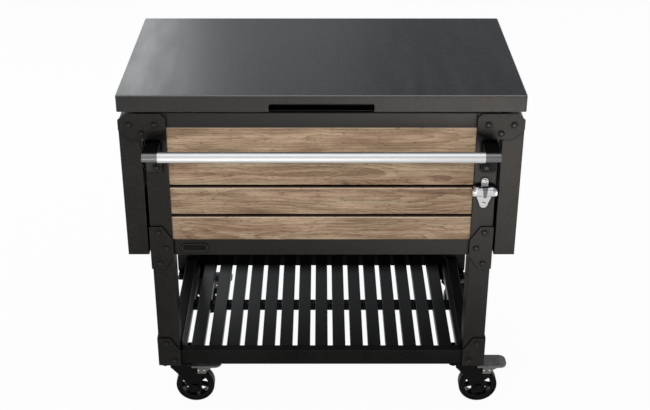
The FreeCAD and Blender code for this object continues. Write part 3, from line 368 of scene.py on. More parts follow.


# %% [markdown]
# Two of the black pieces change along their shape. The worktop's coat is painted pale along
# the fold where its faces turn from level to upright, as a painted highlight, its level top
# has a wiped, clear gloss, and its upright apron is plainer and warmer. Masks on the normal
# find these three, so they follow the fold all the way round.

# %% Worktop with a painted fold highlight
UPRIGHT = (0.05, 0.35)
FOLD_BEGINS = (0.35, 0.60)
FOLD_ENDS = (0.90, 0.99)
FOLD_HIGHLIGHT_COLOR = grey(0.22)
APRON_COLOR = grey(0.017)
APRON_SHARE = 0.65
TOP_GLOSS = 0.16
TOP_ROUGHNESS = 0.37


def shader_of(material):
    return material.node_tree.nodes["Principled BSDF"]


def lay_over(material, mask, color):
    """Mix a colour over the finish where the mask is 1."""
    tree = material.node_tree
    under = shader_of(material).inputs["Base Color"].links[0].from_socket
    feed(shader_of(material), {"Base Color": blend_colors(tree, mask, under, color, (100, 600))})


def clear_coat(material, weight, roughness):
    shader_of(material).inputs["Coat Roughness"].default_value = roughness
    feed(shader_of(material), {"Coat Weight": weight})


def worktop_apron_gloss_and_fold_highlight(material):
    tree = material.node_tree
    facing = add_node(tree, "ShaderNodeNewGeometry", (-900, 800)).outputs["True Normal"]
    level = axes(tree, facing, (-700, 800))["Z"]
    lay_over(material, spread(tree, level, *UPRIGHT, APRON_SHARE, 0.0, (-300, 1300)), APRON_COLOR)
    rising = spread(tree, level, *FOLD_BEGINS, 0.0, 1.0, (-300, 900))
    falling = spread(tree, level, *FOLD_ENDS, 1.0, 0.0, (-300, 700))
    # Painted highlight: the fold between level and upright faces is laid over in pale grey.
    lay_over(material, math_node(tree, "MULTIPLY", rising, falling, (-100, 800)), FOLD_HIGHLIGHT_COLOR)
    clear_coat(material, spread(tree, level, *FOLD_ENDS, 0.0, TOP_GLOSS, (-300, 1100)), TOP_ROUGHNESS)


worktop_apron_gloss_and_fold_highlight(finishes["worktop_steel"])
print("the fold is pale where the normal's Z is", FOLD_BEGINS[1], "to", FOLD_ENDS[0])


# %% [markdown]
# The slats have all their gloss in a clear coat, which stops short of the rear rail: there
# they are matt black. Their shape is the same all along, so a mask on Y fades the coat out.

# %% Slats with matt ends
SLAT_MATT_FROM = 120.0 * MM
SLAT_MATT_FULL = 178.0 * MM
SLAT_GLOSS = 0.6
SLAT_ROUGHNESS = 0.34


def gloss_to_ends(material):
    tree = material.node_tree
    along = axes(tree, object_place(tree, (-900, 700)), (-700, 700))["Y"]
    gloss = spread(tree, along, SLAT_MATT_FROM, SLAT_MATT_FULL, SLAT_GLOSS, 0.0, (-450, 700))
    clear_coat(material, gloss, SLAT_ROUGHNESS)


gloss_to_ends(finishes["slat_black"])
print("slats matt from", SLAT_MATT_FROM, "m behind the middle")


# %% [markdown]
# ## Bare metal
# The bar is an anodised tube, drawn along its length, so its fine lines run along X. The
# opener is a plated casting: smoother, with a soft hammered skin. Both are fully metallic,
# and the texture moves the tone, the roughness and the bump only a little.

# %% Bare metals
TARNISH = (0.92, 1.0)
UNEVEN_METAL = 0.08
METAL_BUMP = 0.3
# Detail and roughness of the noise.
LINE_NOISE = (4.0, 0.65)


def bare_metal(name, color, roughness, stretch, scale, depth):
    material, tree, shader = start_material(name, metallic=1.0)
    along = stretched(tree, object_place(tree), stretch)
    lines = noise(tree, along, scale, *LINE_NOISE, (-500, 0))["Fac"]
    tone = spread(tree, lines, *NOISE_RANGE, *TARNISH, (-300, 200))
    gloss = (roughness - UNEVEN_METAL, roughness + UNEVEN_METAL)
    feed(shader, {
        "Base Color": blend_colors(tree, 1.0, color, tone, (-100, 200), blend_type="MULTIPLY"),
        "Roughness": spread(tree, lines, *NOISE_RANGE, *gloss, (-300, -100)),
        "Normal": bumped(tree, {"Height": lines, "Strength": METAL_BUMP, "Distance": depth}),
    })
    return material


# Each row: colour, roughness, stretch of the noise, its scale, depth of the bump.
ANODISED = (neutral(0.63), 0.36, (0.02, 1.0, 1.0), 1500.0, 0.03 * MM)
CHROME = ((0.63, 0.63, 0.635, 1.0), 0.20, (1.0, 1.0, 1.0), 300.0, 0.04 * MM)
finishes["bar_aluminium"] = bare_metal("bar_aluminium", *ANODISED)
finishes["opener_chrome"] = bare_metal("opener_chrome", *CHROME)
print("bare metals with roughness", ANODISED[1], "and", CHROME[1])


# %% [markdown]
# Down the middle of the opener runs a raised nose, wide at the screw tab and narrow at the
# bottom. It is painted darker than the wings beside it, as painted shade and dark reflection
# that the polished casting shows there. Its mask is a wedge: the distance from the middle is
# less than a width that grows with the height.

# %% Opener with a nose in painted shade
NOSE_FOOT = 36.0 * MM
NOSE_HEAD = 64.0 * MM
NOSE_SLOPE = 0.14
NOSE_HALF = 3.2 * MM
NOSE_BLUR = 0.2
NOSE_SHADE_COLOR = (0.17, 0.17, 0.175, 1.0)


def opener_with_painted_nose_shade(material):
    tree = material.node_tree
    low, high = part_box("bottle_opener")
    foot = ((low.x + high.x) / 2, 0.0, low.z + NOSE_FOOT)
    from_foot = vector_node(tree, "SUBTRACT", object_place(tree, (-1100, 700)), foot, (-900, 700))
    parts = axes(tree, from_foot, (-700, 700))
    aside = math_node(tree, "ABSOLUTE", parts["X"], None, (-500, 800))
    slope = math_node(tree, "MULTIPLY", parts["Z"], NOSE_SLOPE, (-500, 650))
    beyond = math_node(tree, "SUBTRACT", aside, slope, (-300, 750))
    blur = (NOSE_HALF * (1 - NOSE_BLUR), NOSE_HALF * (1 + NOSE_BLUR))
    inside = spread(tree, beyond, *blur, 1.0, 0.0, (-100, 750))
    above = math_node(tree, "GREATER_THAN", parts["Z"], 0.0, (-300, 550))
    below = math_node(tree, "LESS_THAN", parts["Z"], NOSE_HEAD - NOSE_FOOT, (-300, 400))
    between = math_node(tree, "MULTIPLY", above, below, (-100, 500))
    # Painted shade and dark reflection down the nose.
    lay_over(material, math_node(tree, "MULTIPLY", inside, between, (100, 700)), NOSE_SHADE_COLOR)
    return material


finishes["bottle_opener"] = opener_with_painted_nose_shade(bare_metal("opener_casting", *CHROME))
print("nose", round((NOSE_HEAD - NOSE_FOOT) / MM), "mm long")


# %% [markdown]
# ## Moulded plastic, rubber and foam
# These pieces are mostly out of sight: the tub and the lid's lining, the seal, the drain and
# the wheels. Each still has its own skin, a mould grain with slightly uneven gloss.

# %% Moulded finishes
PATCH_SCALE = 9.0
PATCH_RANGE = (0.35, 0.65)
UNEVEN_MOULD = 0.05
MOULD_BUMP = 0.4
# Detail and roughness of the noises.
SKIN_NOISE = (5.0, 0.6)
PATCH_NOISE = (3.0, 0.5)


def moulded(name, low, high, roughness, scale, depth, specular):
    material, tree, shader = start_material(name, specular=specular)
    place = object_place(tree)
    skin = noise(tree, place, scale, *SKIN_NOISE, (-700, 0))["Fac"]
    wide = noise(tree, place, PATCH_SCALE, *PATCH_NOISE, (-700, 300))["Fac"]
    patches = spread(tree, wide, *PATCH_RANGE, 0.0, 1.0, (-450, 300))
    gloss = (roughness - UNEVEN_MOULD, roughness + UNEVEN_MOULD)
    feed(shader, {
        "Base Color": blend_colors(tree, patches, low, high, (-200, 300)),
        "Roughness": spread(tree, wide, *NOISE_RANGE, *gloss, (-450, 0)),
        "Normal": bumped(tree, {"Height": skin, "Strength": MOULD_BUMP, "Distance": depth}),
    })
    return material


# Each row: darker and lighter colour, roughness, scale and depth of the grain, specular level.
MOULDED = {
    "liner_plastic": ((0.78, 0.79, 0.80, 1.0), (0.84, 0.85, 0.86, 1.0), 0.32, 600.0, 0.04 * MM, 0.5),
    "insulation_foam": ((0.70, 0.62, 0.42, 1.0), (0.78, 0.71, 0.52, 1.0), 0.85, 300.0, 0.8 * MM, 0.2),
    "drain_plastic": (neutral(0.020), neutral(0.028), 0.45, 900.0, 0.06 * MM, 0.5),
    "gasket_rubber": (neutral(0.018), neutral(0.026), 0.62, 700.0, 0.06 * MM, 0.3),
    "wheel_plastic": (neutral(0.001), neutral(0.003), 0.30, 800.0, 0.05 * MM, 0.08),
    "tyre_rubber": (neutral(0.001), neutral(0.003), 0.42, 500.0, 0.10 * MM, 0.07),
}
for name, values in MOULDED.items():
    finishes[name] = moulded(name, *values)
print(len(finishes), "finishes without the wood")


# %% [markdown]
# The tub is pale inside, and its flat rim, which shows as a dark line through the finger
# notch, is painted black as the shade under the lid. A mask on the height tells the two apart:
# everything above the underside of the rim, with a little to spare, is black.

# %% Tub with a rim in painted shade
RIM_DEPTH = 3.5 * MM
TUB_WALL = (0.80, 0.81, 0.82, 1.0)
TUB_RIM_SHADE = neutral(0.004)
# Roughness, scale and depth of the grain, specular level.
TUB_SKIN = (0.32, 600.0, 0.04 * MM, 0.12)


def tub_with_painted_rim_shade(name, rim_bottom):
    material = moulded(name, TUB_WALL, TUB_WALL, *TUB_SKIN)
    tree = material.node_tree
    height = axes(tree, object_place(tree, (-900, 600)), (-700, 600))["Z"]
    # Painted shade: the rim under the lid is black.
    lay_over(material, math_node(tree, "GREATER_THAN", height, rim_bottom, (-450, 600)), TUB_RIM_SHADE)
    return material


rim_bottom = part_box("cooler_tub")[1].z - RIM_DEPTH
finishes["cooler_tub"] = tub_with_painted_rim_shade("tub_plastic", rim_bottom)
print("the rim is black from", round(rim_bottom, 4), "m up")


# %% [markdown]
# The bar's ends sit in sleeves of dark chrome, cast in one piece with their black brackets.
# The sleeve is whatever lies within its radius of the bar's axis, so a mask on that distance
# turns the black coat into dark polished metal there.

# %% Brackets with chromed sleeves
SLEEVE_REACH = 12.8 * MM
SLEEVE_COLOR = (0.16, 0.16, 0.165, 1.0)


def sleeved_bracket(material):
    tree = material.node_tree
    low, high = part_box("towel_bar")
    across = stretched(tree, object_place(tree, (-900, 700)), (0.0, 1.0, 1.0), (-700, 700))
    axis = (0.0, (low.y + high.y) / 2, (low.z + high.z) / 2)
    from_axis = vector_node(tree, "SUBTRACT", across, axis, (-500, 700))
    reach = vector_node(tree, "LENGTH", from_axis, None, (-300, 700))
    sleeve = math_node(tree, "LESS_THAN", reach, SLEEVE_REACH, (-100, 700))
    lay_over(material, sleeve, SLEEVE_COLOR)
    seam = shader_of(material).inputs["Metallic"].links[0].from_socket
    feed(shader_of(material), {"Metallic": math_node(tree, "MAXIMUM", seam, sleeve, (100, 450))})
    return material


finishes["towel_bar_brackets"] = sleeved_bracket(finishes["bracket_casting"])
print("sleeves within", SLEEVE_REACH / MM, "mm of the bar's axis")


# %% [markdown]
# ## Oak
# A board is a flat cut through a log, so its figure can be made the same way: rings are the
# distance from a centre line that runs nearly along the board and wanders a little. Where
# the line comes close to the face, the rings open into pointed arches. Fibres, streaks and
# short pores are noises that are drawn out along the board.

# %% Oak grain and rings
# Each row: scale along X, Y and Z, detail, roughness.
GRAINS = {
    "drift": ((2.2, 6.0, 6.0), 2.0, 0.5),
    "ripple": ((6.0, 40.0, 40.0), 4.0, 0.6),
    "fibre": ((3.0, 210.0, 210.0), 6.0, 0.75),
    "streaks": ((6.5, 60.0, 60.0), 5.0, 0.65),
    "patches": ((5.0, 26.0, 26.0), 3.0, 0.55),
    "hue": ((3.0, 34.0, 34.0), 2.0, 0.5),
    "pores": ((70.0, 380.0, 380.0), 1.0, 0.5),
}
NOISE_MIDDLE = (0.5, 0.5, 0.5)
RING_AXIS = (0.012, 1.0, 1.0)
RING_POWER = 1.6
RIPPLE = 10.0 * MM


def grain(group, moved, name):
    scale, detail, roughness = GRAINS[name]
    row = 400 - 150 * list(GRAINS).index(name)
    drawn = stretched(group, moved, scale, (-1100, row))
    return noise(group, drawn, 1.0, detail, roughness, (-900, row))


def growth_rings(group, moved, wander, count, swirl):
    drift = grain(group, moved, "drift")["Color"]
    centred = vector_node(group, "SUBTRACT", drift, NOISE_MIDDLE, (-700, 400))
    scaled = {0: centred, "Scale": wander}
    bend = add_node(group, "ShaderNodeVectorMath", (-500, 400), scaled, operation="SCALE").outputs["Vector"]
    across = stretched(group, moved, RING_AXIS, (-1100, 650))
    bent = vector_node(group, "ADD", across, bend, (-300, 500))
    radius = vector_node(group, "LENGTH", bent, None, (-100, 500))
    shaken = math_node(group, "MULTIPLY", grain(group, moved, "ripple")["Fac"], RIPPLE, (-300, 150))
    bumpy = math_node(group, "ADD", shaken, swirl, (-100, 150))
    reach = math_node(group, "ADD", radius, bumpy, (50, 400))
    turns = math_node(group, "MULTIPLY", reach, count, (200, 400))
    saw = math_node(group, "FRACT", turns, None, (350, 400))
    return math_node(group, "POWER", saw, RING_POWER, (500, 400))


print("grains of the oak:", list(GRAINS))


# %% [markdown]
# A knot is where a branch left the log: a small dark eye, with the rings pushed aside round
# it. A Voronoi texture scatters points over the board, and a limit on the random colour of
# each point's cell keeps only some of them.

# %% Oak knots
KNOT_CELLS = (5.0, 0.0, 13.0)
KNOT_LIMIT = 0.38
KNOT_EYE = (0.03, 0.085)
KNOT_HALO = (0.0, 0.38)
KNOT_PUSH = 16.0 * MM


def knots(group, moved):
    """The mask of the dark eyes, and how far the rings are pushed aside."""
    cells = {"Vector": stretched(group, moved, KNOT_CELLS, (-1100, -700)), "Scale": 1.0}
    branch = add_node(group, "ShaderNodeTexVoronoi", (-900, -700), cells).outputs
    kind = add_node(group, "ShaderNodeSeparateColor", (-700, -700), {"Color": branch["Color"]}).outputs
    kept = math_node(group, "GREATER_THAN", kind["Red"], KNOT_LIMIT, (-500, -700))
    eye = spread(group, branch["Distance"], *KNOT_EYE, 1.0, 0.0, (-500, -550))
    halo = spread(group, branch["Distance"], *KNOT_HALO, KNOT_PUSH, 0.0, (-500, -450))
    eyes = math_node(group, "MULTIPLY", eye, kept, (-300, -600))
    swirl = math_node(group, "MULTIPLY", halo, kept, (-300, -450))
    return eyes, swirl


print("knots in about", round(1 - KNOT_LIMIT, 2), "of the cells")


# %% [markdown]
# Two masks belong to the shape of a board and not to its wood. The seam mask paints shade
# into the gap above each board: faces that look up, chamfer included, and places with other
# surfaces near go dark. The top edge mask is a narrow strip below it, with a painted highlight.

# %% Gaps between the boards
GAP_REACH = 6.0 * MM
GAP_SHADE = (0.25, 0.60)
LOOKS_UP = (0.55, 0.72)
EDGE_HIGHLIGHT_BAND = (3.9 * MM, 6.5 * MM)


def board_gap_shade(group):
    # Painted shade in the gap: places near other surfaces and faces that look up go dark.
    nearby = add_node(group, "ShaderNodeAmbientOcclusion", (-500, -800), {"Distance": GAP_REACH}, samples=8)
    narrow = spread(group, nearby.outputs["AO"], *GAP_SHADE, 1.0, 0.0, (-300, -800))
    facing = add_node(group, "ShaderNodeNewGeometry", (-500, -1000)).outputs["Normal"]
    upper = spread(group, axes(group, facing, (-300, -1000))["Z"], *LOOKS_UP, 0.0, 1.0, (-100, -1000))
    return math_node(group, "MAXIMUM", narrow, upper, (100, -800))


def top_edge_highlight(group, place, top):
    # Painted highlight: a pale strip just below the board's top.
    height = axes(group, place, (-1300, -1200))["Z"]
    fall = math_node(group, "SUBTRACT", top, height, (-100, -1400))
    return spread(group, fall, *EDGE_HIGHLIGHT_BAND, 1.0, 0.0, (100, -1400))


print("the pale edge ends", round(EDGE_HIGHLIGHT_BAND[1] / MM, 1), "mm below a board's top")


# %% [markdown]
# All of this goes into one group, which the four boards share. Each board is cut from another
# log, so the group takes an offset that moves the wood and leaves the board where it is. The
# pale edge also needs the height of the board's top.

# %% Oak group
PORE_RANGE = (0.60, 0.72)
CRACK_RANGE = (0.28, 0.38)
HUE_RANGE = (0.35, 0.65)


def make_oak_group():
    group, given = start_group(
        "oak_figure",
        {"Offset": (0.0, 0.0, 0.0), "Ring Count": 160.0, "Wander": 0.06, "Top": 1.0},
        ("Rings", "Fibre", "Patches", "Streaks", "Pores", "Knots", "Hue", "Cracks", "Seam", "Top Edge"),
    )
    place = object_place(group, (-1500, 0))
    moved = vector_node(group, "ADD", place, given["Offset"], (-1300, 0))
    eyes, swirl = knots(group, moved)
    fibre = grain(group, moved, "fibre")["Fac"]
    shade = grain(group, moved, "hue")["Fac"]
    pores = grain(group, moved, "pores")["Fac"]
    end_group(group, {
        "Rings": growth_rings(group, moved, given["Wander"], given["Ring Count"], swirl),
        "Fibre": fibre,
        "Patches": grain(group, moved, "patches")["Fac"],
        "Streaks": grain(group, moved, "streaks")["Fac"],
        "Pores": spread(group, pores, *PORE_RANGE, 0.0, 1.0, (-500, -350)),
        "Knots": eyes,
        "Hue": spread(group, shade, *HUE_RANGE, 0.0, 1.0, (-500, -260)),
        "Cracks": spread(group, fibre, *CRACK_RANGE, 1.0, 0.0, (-500, -50)),
        "Seam": board_gap_shade(group),
        "Top Edge": top_edge_highlight(group, place, given["Top"]),
    })
    return group


OAK = make_oak_group()


# %% [markdown]
# One number, the tone, runs from the dark late wood to the palest fibre, and a colour ramp
# turns it into the board's colours. A ramp has two stops at first, so the middle one is added,
# and a board's own tint is multiplied into all three.

# %% Oak colours
OAK_DARK = (0.19, (0.128, 0.075, 0.041))
OAK_MIDDLE = (0.54, (0.318, 0.209, 0.130))
OAK_LIGHT = (0.88, (0.60, 0.440, 0.300))


def ramp_color(tree, tone, tint):
    ramp = add_node(tree, "ShaderNodeValToRGB", (-450, 300), {"Fac": tone})
    stops = ramp.color_ramp.elements
    stops[0].position, stops[1].position = OAK_DARK[0], OAK_LIGHT[0]
    stops.new(OAK_MIDDLE[0])
    for stop, (_, color) in zip(stops, (OAK_DARK, OAK_MIDDLE, OAK_LIGHT)):
        stop.color = (*(tint * part for part in color), 1.0)
    return ramp.outputs["Color"]


print("the ramp runs from", OAK_DARK[0], "to", OAK_LIGHT[0])


# %% [markdown]
# Rings, fibres, streaks and broad patches each add their share to the tone. The painted
# highlight of the upper edge, cracks, pores, knots and the painted shade of the gap are then
# laid over the colour one by one. The gap is metallic too, so that it mirrors nothing and
# stays dark.

# %% Oak boards
OAK_BROWN = (0.060, 0.033, 0.018, 1.0)
OAK_EDGE_HIGHLIGHT = (0.76, 0.60, 0.45, 1.0)
OAK_PINK = (1.05, 0.985, 0.98, 1.0)
OAK_OLIVE = (0.97, 1.0, 0.95, 1.0)
GAP_SHADE_BROWN = (0.014, 0.003, 0.002, 1.0)
RING_SHARE = 0.20
# Each row: effect, the range that it is spread from, its share of the tone.
OAK_SHARES = (("Fibre", 0.28, 0.72, 0.34), ("Streaks", 0.28, 0.72, 0.34), ("Patches", 0.30, 0.70, 0.34))
# Each row: mask, strength, colour.
OAK_LAYERS = (
    ("Top Edge", 0.85, OAK_EDGE_HIGHLIGHT),
    ("Cracks", 0.45, OAK_BROWN),
    ("Pores", 0.55, OAK_BROWN),
    ("Knots", 0.9, OAK_BROWN),
    ("Seam", 1.0, GAP_SHADE_BROWN),
)
PORE_DEPTH = 0.55
OAK_SPECULAR = 0.25
OAK_ROUGHNESS = (0.52, 0.68)
OAK_BUMP = {"Strength": 0.5, "Distance": 0.3 * MM}


def oak_board(name, offset, tint, top):
    material, tree, shader = start_material(name, specular=OAK_SPECULAR)
    values = {"Offset": offset, "Top": top}
    figure = add_node(tree, "ShaderNodeGroup", (-1300, 0), values, node_tree=OAK).outputs
    tone = spread(tree, figure["Rings"], 0.0, 1.0, RING_SHARE, 0.0, (-1050, 500))
    for index, (part, low, high, share) in enumerate(OAK_SHARES):
        layer = spread(tree, figure[part], low, high, 0.0, share, (-1050, 250 - 200 * index))
        tone = math_node(tree, "ADD", tone, layer, (-800, 400 - 150 * index))
    hue = blend_colors(tree, figure["Hue"], OAK_OLIVE, OAK_PINK, (-450, 550))
    color = blend_colors(tree, 1.0, ramp_color(tree, tone, tint), hue, (-250, 450), blend_type="MULTIPLY")
    for index, (part, strength, cover) in enumerate(OAK_LAYERS):
        mask = math_node(tree, "MULTIPLY", figure[part], strength, (-450, 700 + 150 * index))
        color = blend_colors(tree, mask, color, cover, (-150 + 100 * index, 600))
    sunk = math_node(tree, "MULTIPLY", figure["Pores"], PORE_DEPTH, (-450, -300))
    relief = math_node(tree, "SUBTRACT", figure["Fibre"], sunk, (-300, -300))
    feed(shader, {
        "Base Color": color,
        "Metallic": figure["Seam"],
        "Roughness": spread(tree, figure["Fibre"], *NOISE_RANGE, *OAK_ROUGHNESS, (-150, 0)),
        "Normal": bumped(tree, {"Height": relief, **OAK_BUMP}),
    })
    return material


BOARD_OFFSETS = ((0.31, 0.262, -0.80), (1.47, 0.255, -0.70), (2.83, 0.268, -0.645), (4.11, 0.258, -0.53))
BOARD_TINTS = (1.13, 0.95, 0.95, 0.94)
boards = sorted(name for name, slot in SLOT_OF.items() if slot == "oak")
for board, offset, tint in zip(boards, BOARD_OFFSETS, BOARD_TINTS):
    finishes[board] = oak_board(board + "_oak", offset, tint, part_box(board)[1].z)
print("boards", boards)

# %% [markdown]
# The solids already carry a plain material from the frame. Each gets the finish of its slot
# in place of that, except pieces with a finish under their own name, such as the boards, and
# a few whose slot is shared with pieces that look different.

# %% Put the finishes on
def give_finish(obj, finish):
    obj.data.materials.clear()
    obj.data.materials.append(finishes[finish])


SPECIAL = {
    "shelf": "shelf_black",
    "shelf_slats": "slat_black",
    "caster_pedal": "pedal_grey",
    "front_top_rail": "rail_steel",
}
for name, obj in NODES.items():
    finish = name if name in finishes else SLOT_OF[name]
    for start, other in SPECIAL.items():
        if name.startswith(start):
            finish = other
    give_finish(obj, finish)
print(len(NODES), "solids have their finish")


# %% [markdown]
# ## Fasteners
# The solids show each bolt as a plain cone on a shank. The real ones have a low round head in
# a washer. One is modelled at the origin, pointing along +Z, and copied to every place. The
# places come from the frame: the node with all the bolts is split into its separate solids,
# and each solid's box says where its bolt sits and how long it is.

# %% Find the bolts
WELD = 1e-6


def solid_boxes(node):
    """The lowest and highest corner of each separate solid in a node."""
    mesh = bmesh.new()
    mesh.from_mesh(NODES[node].data)
    bmesh.ops.remove_doubles(mesh, verts=mesh.verts, dist=WELD)
    waiting = set(mesh.verts)
    boxes = []
    while waiting:
        edge_of_search = [waiting.pop()]
        places = []
        while edge_of_search:
            vert = edge_of_search.pop()
            places.append(vert.co.copy())
            for edge in vert.link_edges:
                other = edge.other_vert(vert)
                if other in waiting:
                    waiting.remove(other)
                    edge_of_search.append(other)
        low = Vector(min(p[i] for p in places) for i in range(3))
        high = Vector(max(p[i] for p in places) for i in range(3))
        boxes.append((low, high))
    mesh.free()
    return sorted(boxes, key=lambda box: tuple(round(v, 5) for v in box[0]))


bolt_boxes = solid_boxes("plate_bolts")
pivot_boxes = solid_boxes("leaf_pivot_bolts")
print(len(bolt_boxes), "bolts and", len(pivot_boxes), "pivots")


# %% [markdown]
# Bolts, washers and rivets start as a disc that stands on Z = 0, in edit mode. Faces and edges
# are then picked by a test, such as the way that a face looks, and worked on with the mesh
# operators.

# %% Ways to work on a piece
LOOKS_ALONG = 0.9
SMOOTH_ANGLE = math.radians(35)


def begin_piece():
    if bpy.context.object and bpy.context.object.mode != "OBJECT":
        bpy.ops.object.mode_set(mode="OBJECT")
    bpy.ops.object.select_all(action="DESELECT")


def begin_disc(sides, radius, height):
    begin_piece()
    bpy.ops.mesh.primitive_cylinder_add(
        vertices=sides, radius=radius, depth=height, location=(0, 0, height / 2)
    )
    bpy.ops.object.transform_apply(location=True, rotation=True, scale=True)
    bpy.ops.object.mode_set(mode="EDIT")
    return bpy.context.object


def pick(obj, test, kind="FACE"):
    """Select the faces, edges or vertices that pass a test, in edit mode."""
    bpy.ops.mesh.select_mode(type=kind)
    bpy.ops.mesh.select_all(action="DESELECT")
    mesh = bmesh.from_edit_mesh(obj.data)
    parts = {"FACE": mesh.faces, "EDGE": mesh.edges, "VERT": mesh.verts}[kind]
    for part in parts:
        if test(part):
            part.select_set(True)
    mesh.select_flush_mode()
    bmesh.update_edit_mesh(obj.data)


def round_top(obj, width, segments):
    """Bevel the edges that lie in the highest plane of a piece."""
    highest = max(vert.co.z for vert in bmesh.from_edit_mesh(obj.data).verts) - WELD
    pick(obj, lambda edge: all(vert.co.z > highest for vert in edge.verts), "EDGE")
    bpy.ops.mesh.bevel(offset=width, segments=segments, profile=0.5, affect="EDGES")


def raise_faces(distance):
    bpy.ops.mesh.extrude_region_move(TRANSFORM_OT_translate={"value": (0, 0, distance)})


def end_piece(obj):
    bpy.ops.object.mode_set(mode="OBJECT")
    bpy.ops.object.transform_apply(location=True, rotation=True, scale=True)
    bpy.ops.object.shade_smooth_by_angle(angle=SMOOTH_ANGLE)
    return obj


print("edges stay sharp from", round(math.degrees(SMOOTH_ANGLE)), "degrees")


# %% [markdown]
# A round bolt is turned from a disc: the top edge is rounded over in a wide bevel until only
# a small flat is left, and the shank is pulled out of the bottom face. It stands in a thin
# black washer, whose dull finish paints the shade ring round each head. The washer starts as
# a disc too, with a bevelled rim and a middle that is pushed down a little.

# %% Model a round bolt and its washer
HEAD_RADIUS = 6.2 * MM
HEAD_HEIGHT = 3.0 * MM
HEAD_ROUNDING = 0.75
SHANK_RADIUS = 3.0 * MM
WASHER_RADIUS = 8.8 * MM
WASHER_HEIGHT = 0.8 * MM
WASHER_SHARE = 0.4
ROUND_SIDES = 28


def round_bolt(shank_length):
    """A dome above Z = 0, with its shank below."""
    bolt = begin_disc(ROUND_SIDES, HEAD_RADIUS, HEAD_HEIGHT)
    round_top(bolt, HEAD_HEIGHT * HEAD_ROUNDING, segments=5)
    pick(bolt, lambda face: face.normal.z < -LOOKS_ALONG)
    bpy.ops.mesh.inset(thickness=HEAD_RADIUS - SHANK_RADIUS, depth=0.0)
    raise_faces(-shank_length)
    return end_piece(bolt)


def washer():
    """A thin dished disc above Z = 0."""
    ring = begin_disc(ROUND_SIDES, WASHER_RADIUS, WASHER_HEIGHT)
    dish = WASHER_HEIGHT * WASHER_SHARE
    round_top(ring, dish, segments=2)
    pick(ring, lambda face: face.normal.z > LOOKS_ALONG)
    bpy.ops.mesh.inset(thickness=(WASHER_RADIUS - HEAD_RADIUS) * WASHER_SHARE, depth=-dish)
    return end_piece(ring)


print("round heads", HEAD_RADIUS * 2 / MM, "mm wide in washers of", WASHER_RADIUS * 2 / MM, "mm")


# %% [markdown]
# Hex bolts hold the casters and carry the wheels. A six-sided disc becomes a bolt head when
# its outer face is inset and raised, which slopes its edges, and the same shape serves as
# the nut.

# %% Model a hex bolt
HEX_INSET = 0.10
HEX_RISE = 0.4 * MM
HEX_SHANK_SIDES = 16


def add_hex(obj, radius, bottom, height, way):
    """Add a hexagon to the piece in edit mode and slope the edges of its outer face."""
    bpy.ops.mesh.select_all(action="DESELECT")
    bpy.ops.mesh.primitive_cylinder_add(
        vertices=6, radius=radius, depth=height, location=(0, 0, bottom + height / 2)
    )
    outer = bottom + (height if way > 0 else 0.0)

    def is_outer(face):
        return face.normal.z * way > LOOKS_ALONG and abs(face.calc_center_median().z - outer) < WELD

    pick(obj, is_outer)
    bpy.ops.mesh.inset(thickness=radius * HEX_INSET, depth=0.0)
    raise_faces(way * HEX_RISE)


def hex_bolt(radius, head_height, shank_radius, length, nut_bottom, nut_height):
    """A hex head below Z = 0, a shank up from it, and a nut on the shank."""
    bolt = begin_disc(HEX_SHANK_SIDES, shank_radius, length)
    add_hex(bolt, radius, -head_height, head_height, -1)
    add_hex(bolt, radius, nut_bottom, nut_height, 1)
    return end_piece(bolt)


print("hex heads rise", HEX_RISE / MM, "mm past their edges")


# %% [markdown]
# A copy of the model bolt is turned to face the way its solid does and moved to its seat.
# Each model is made once, the first time that its sizes are asked for. The copies that share
# a finish and a body are then joined to one piece, whose place is put into its mesh.

# %% Copy and join
models = {}


def model(kind, *sizes):
    """The model of these sizes, made the first time it is asked for."""
    key = (kind.__name__, *(round(size / MM, 2) for size in sizes))
    if key not in models:
        models[key] = kind(*sizes)
    return models[key]


def copy_to(source, seat, turn=(0.0, 0.0, 0.0)):
    copy = source.copy()
    copy.data = source.data.copy()
    bpy.context.scene.collection.objects.link(copy)
    copy.rotation_euler = turn
    copy.location = seat
    return copy


def join_piece(copies, name, finish, slot, body, *replaced):
    begin_piece()
    for copy in copies:
        copy.select_set(True)
    bpy.context.view_layer.objects.active = copies[0]
    if len(copies) > 1:
        bpy.ops.object.join()
    bpy.ops.object.transform_apply(location=True, rotation=True, scale=True)
    piece = bpy.context.object
    piece.name = name
    give_finish(piece, finish)
    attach(piece, body)
    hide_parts(*replaced)
    print(name, "has", len(piece.data.polygons), "faces")
    return piece


print(len(models), "models made so far")


# %% [markdown]
# A seat is worked out from a solid's box. Round bolts lie along Y, with the head at the end
# that faces away from the cart, and each gets a washer. Caster bolts stand along Z.

# %% Seats for the bolts
TO_FRONT = (math.pi / 2, 0.0, 0.0)
TO_BACK = (-math.pi / 2, 0.0, 0.0)
CASTER_HEAD = 5.0 * MM
CASTER_NUT = 5.0 * MM
NUT_FROM_END = 6.5 * MM
washers = []


def middle(box):
    return (box[0] + box[1]) / 2


def place_round(low, high, with_washer=True):
    """A round bolt in the place of a solid that lies along Y."""
    centre = middle((low, high))
    front = centre.y < 0
    turn = TO_FRONT if front else TO_BACK
    seat = (centre.x, low.y + HEAD_HEIGHT if front else high.y - HEAD_HEIGHT, centre.z)
    if with_washer:
        washers.append(copy_to(model(washer), seat, turn))
    return copy_to(model(round_bolt, high.y - low.y - HEAD_HEIGHT), seat, turn)


def place_hex(low, high):
    """A hex bolt in the place of a solid that stands along Z."""
    centre = middle((low, high))
    length = high.z - low.z - CASTER_HEAD
    radius = (high.y - low.y) / 2
    source = model(hex_bolt, radius, CASTER_HEAD, SHANK_RADIUS, length, length - NUT_FROM_END, CASTER_NUT)
    return copy_to(source, (centre.x, centre.y, low.z + CASTER_HEAD))


print("heads turn by", round(math.degrees(TO_FRONT[0])), "degrees to face the front")


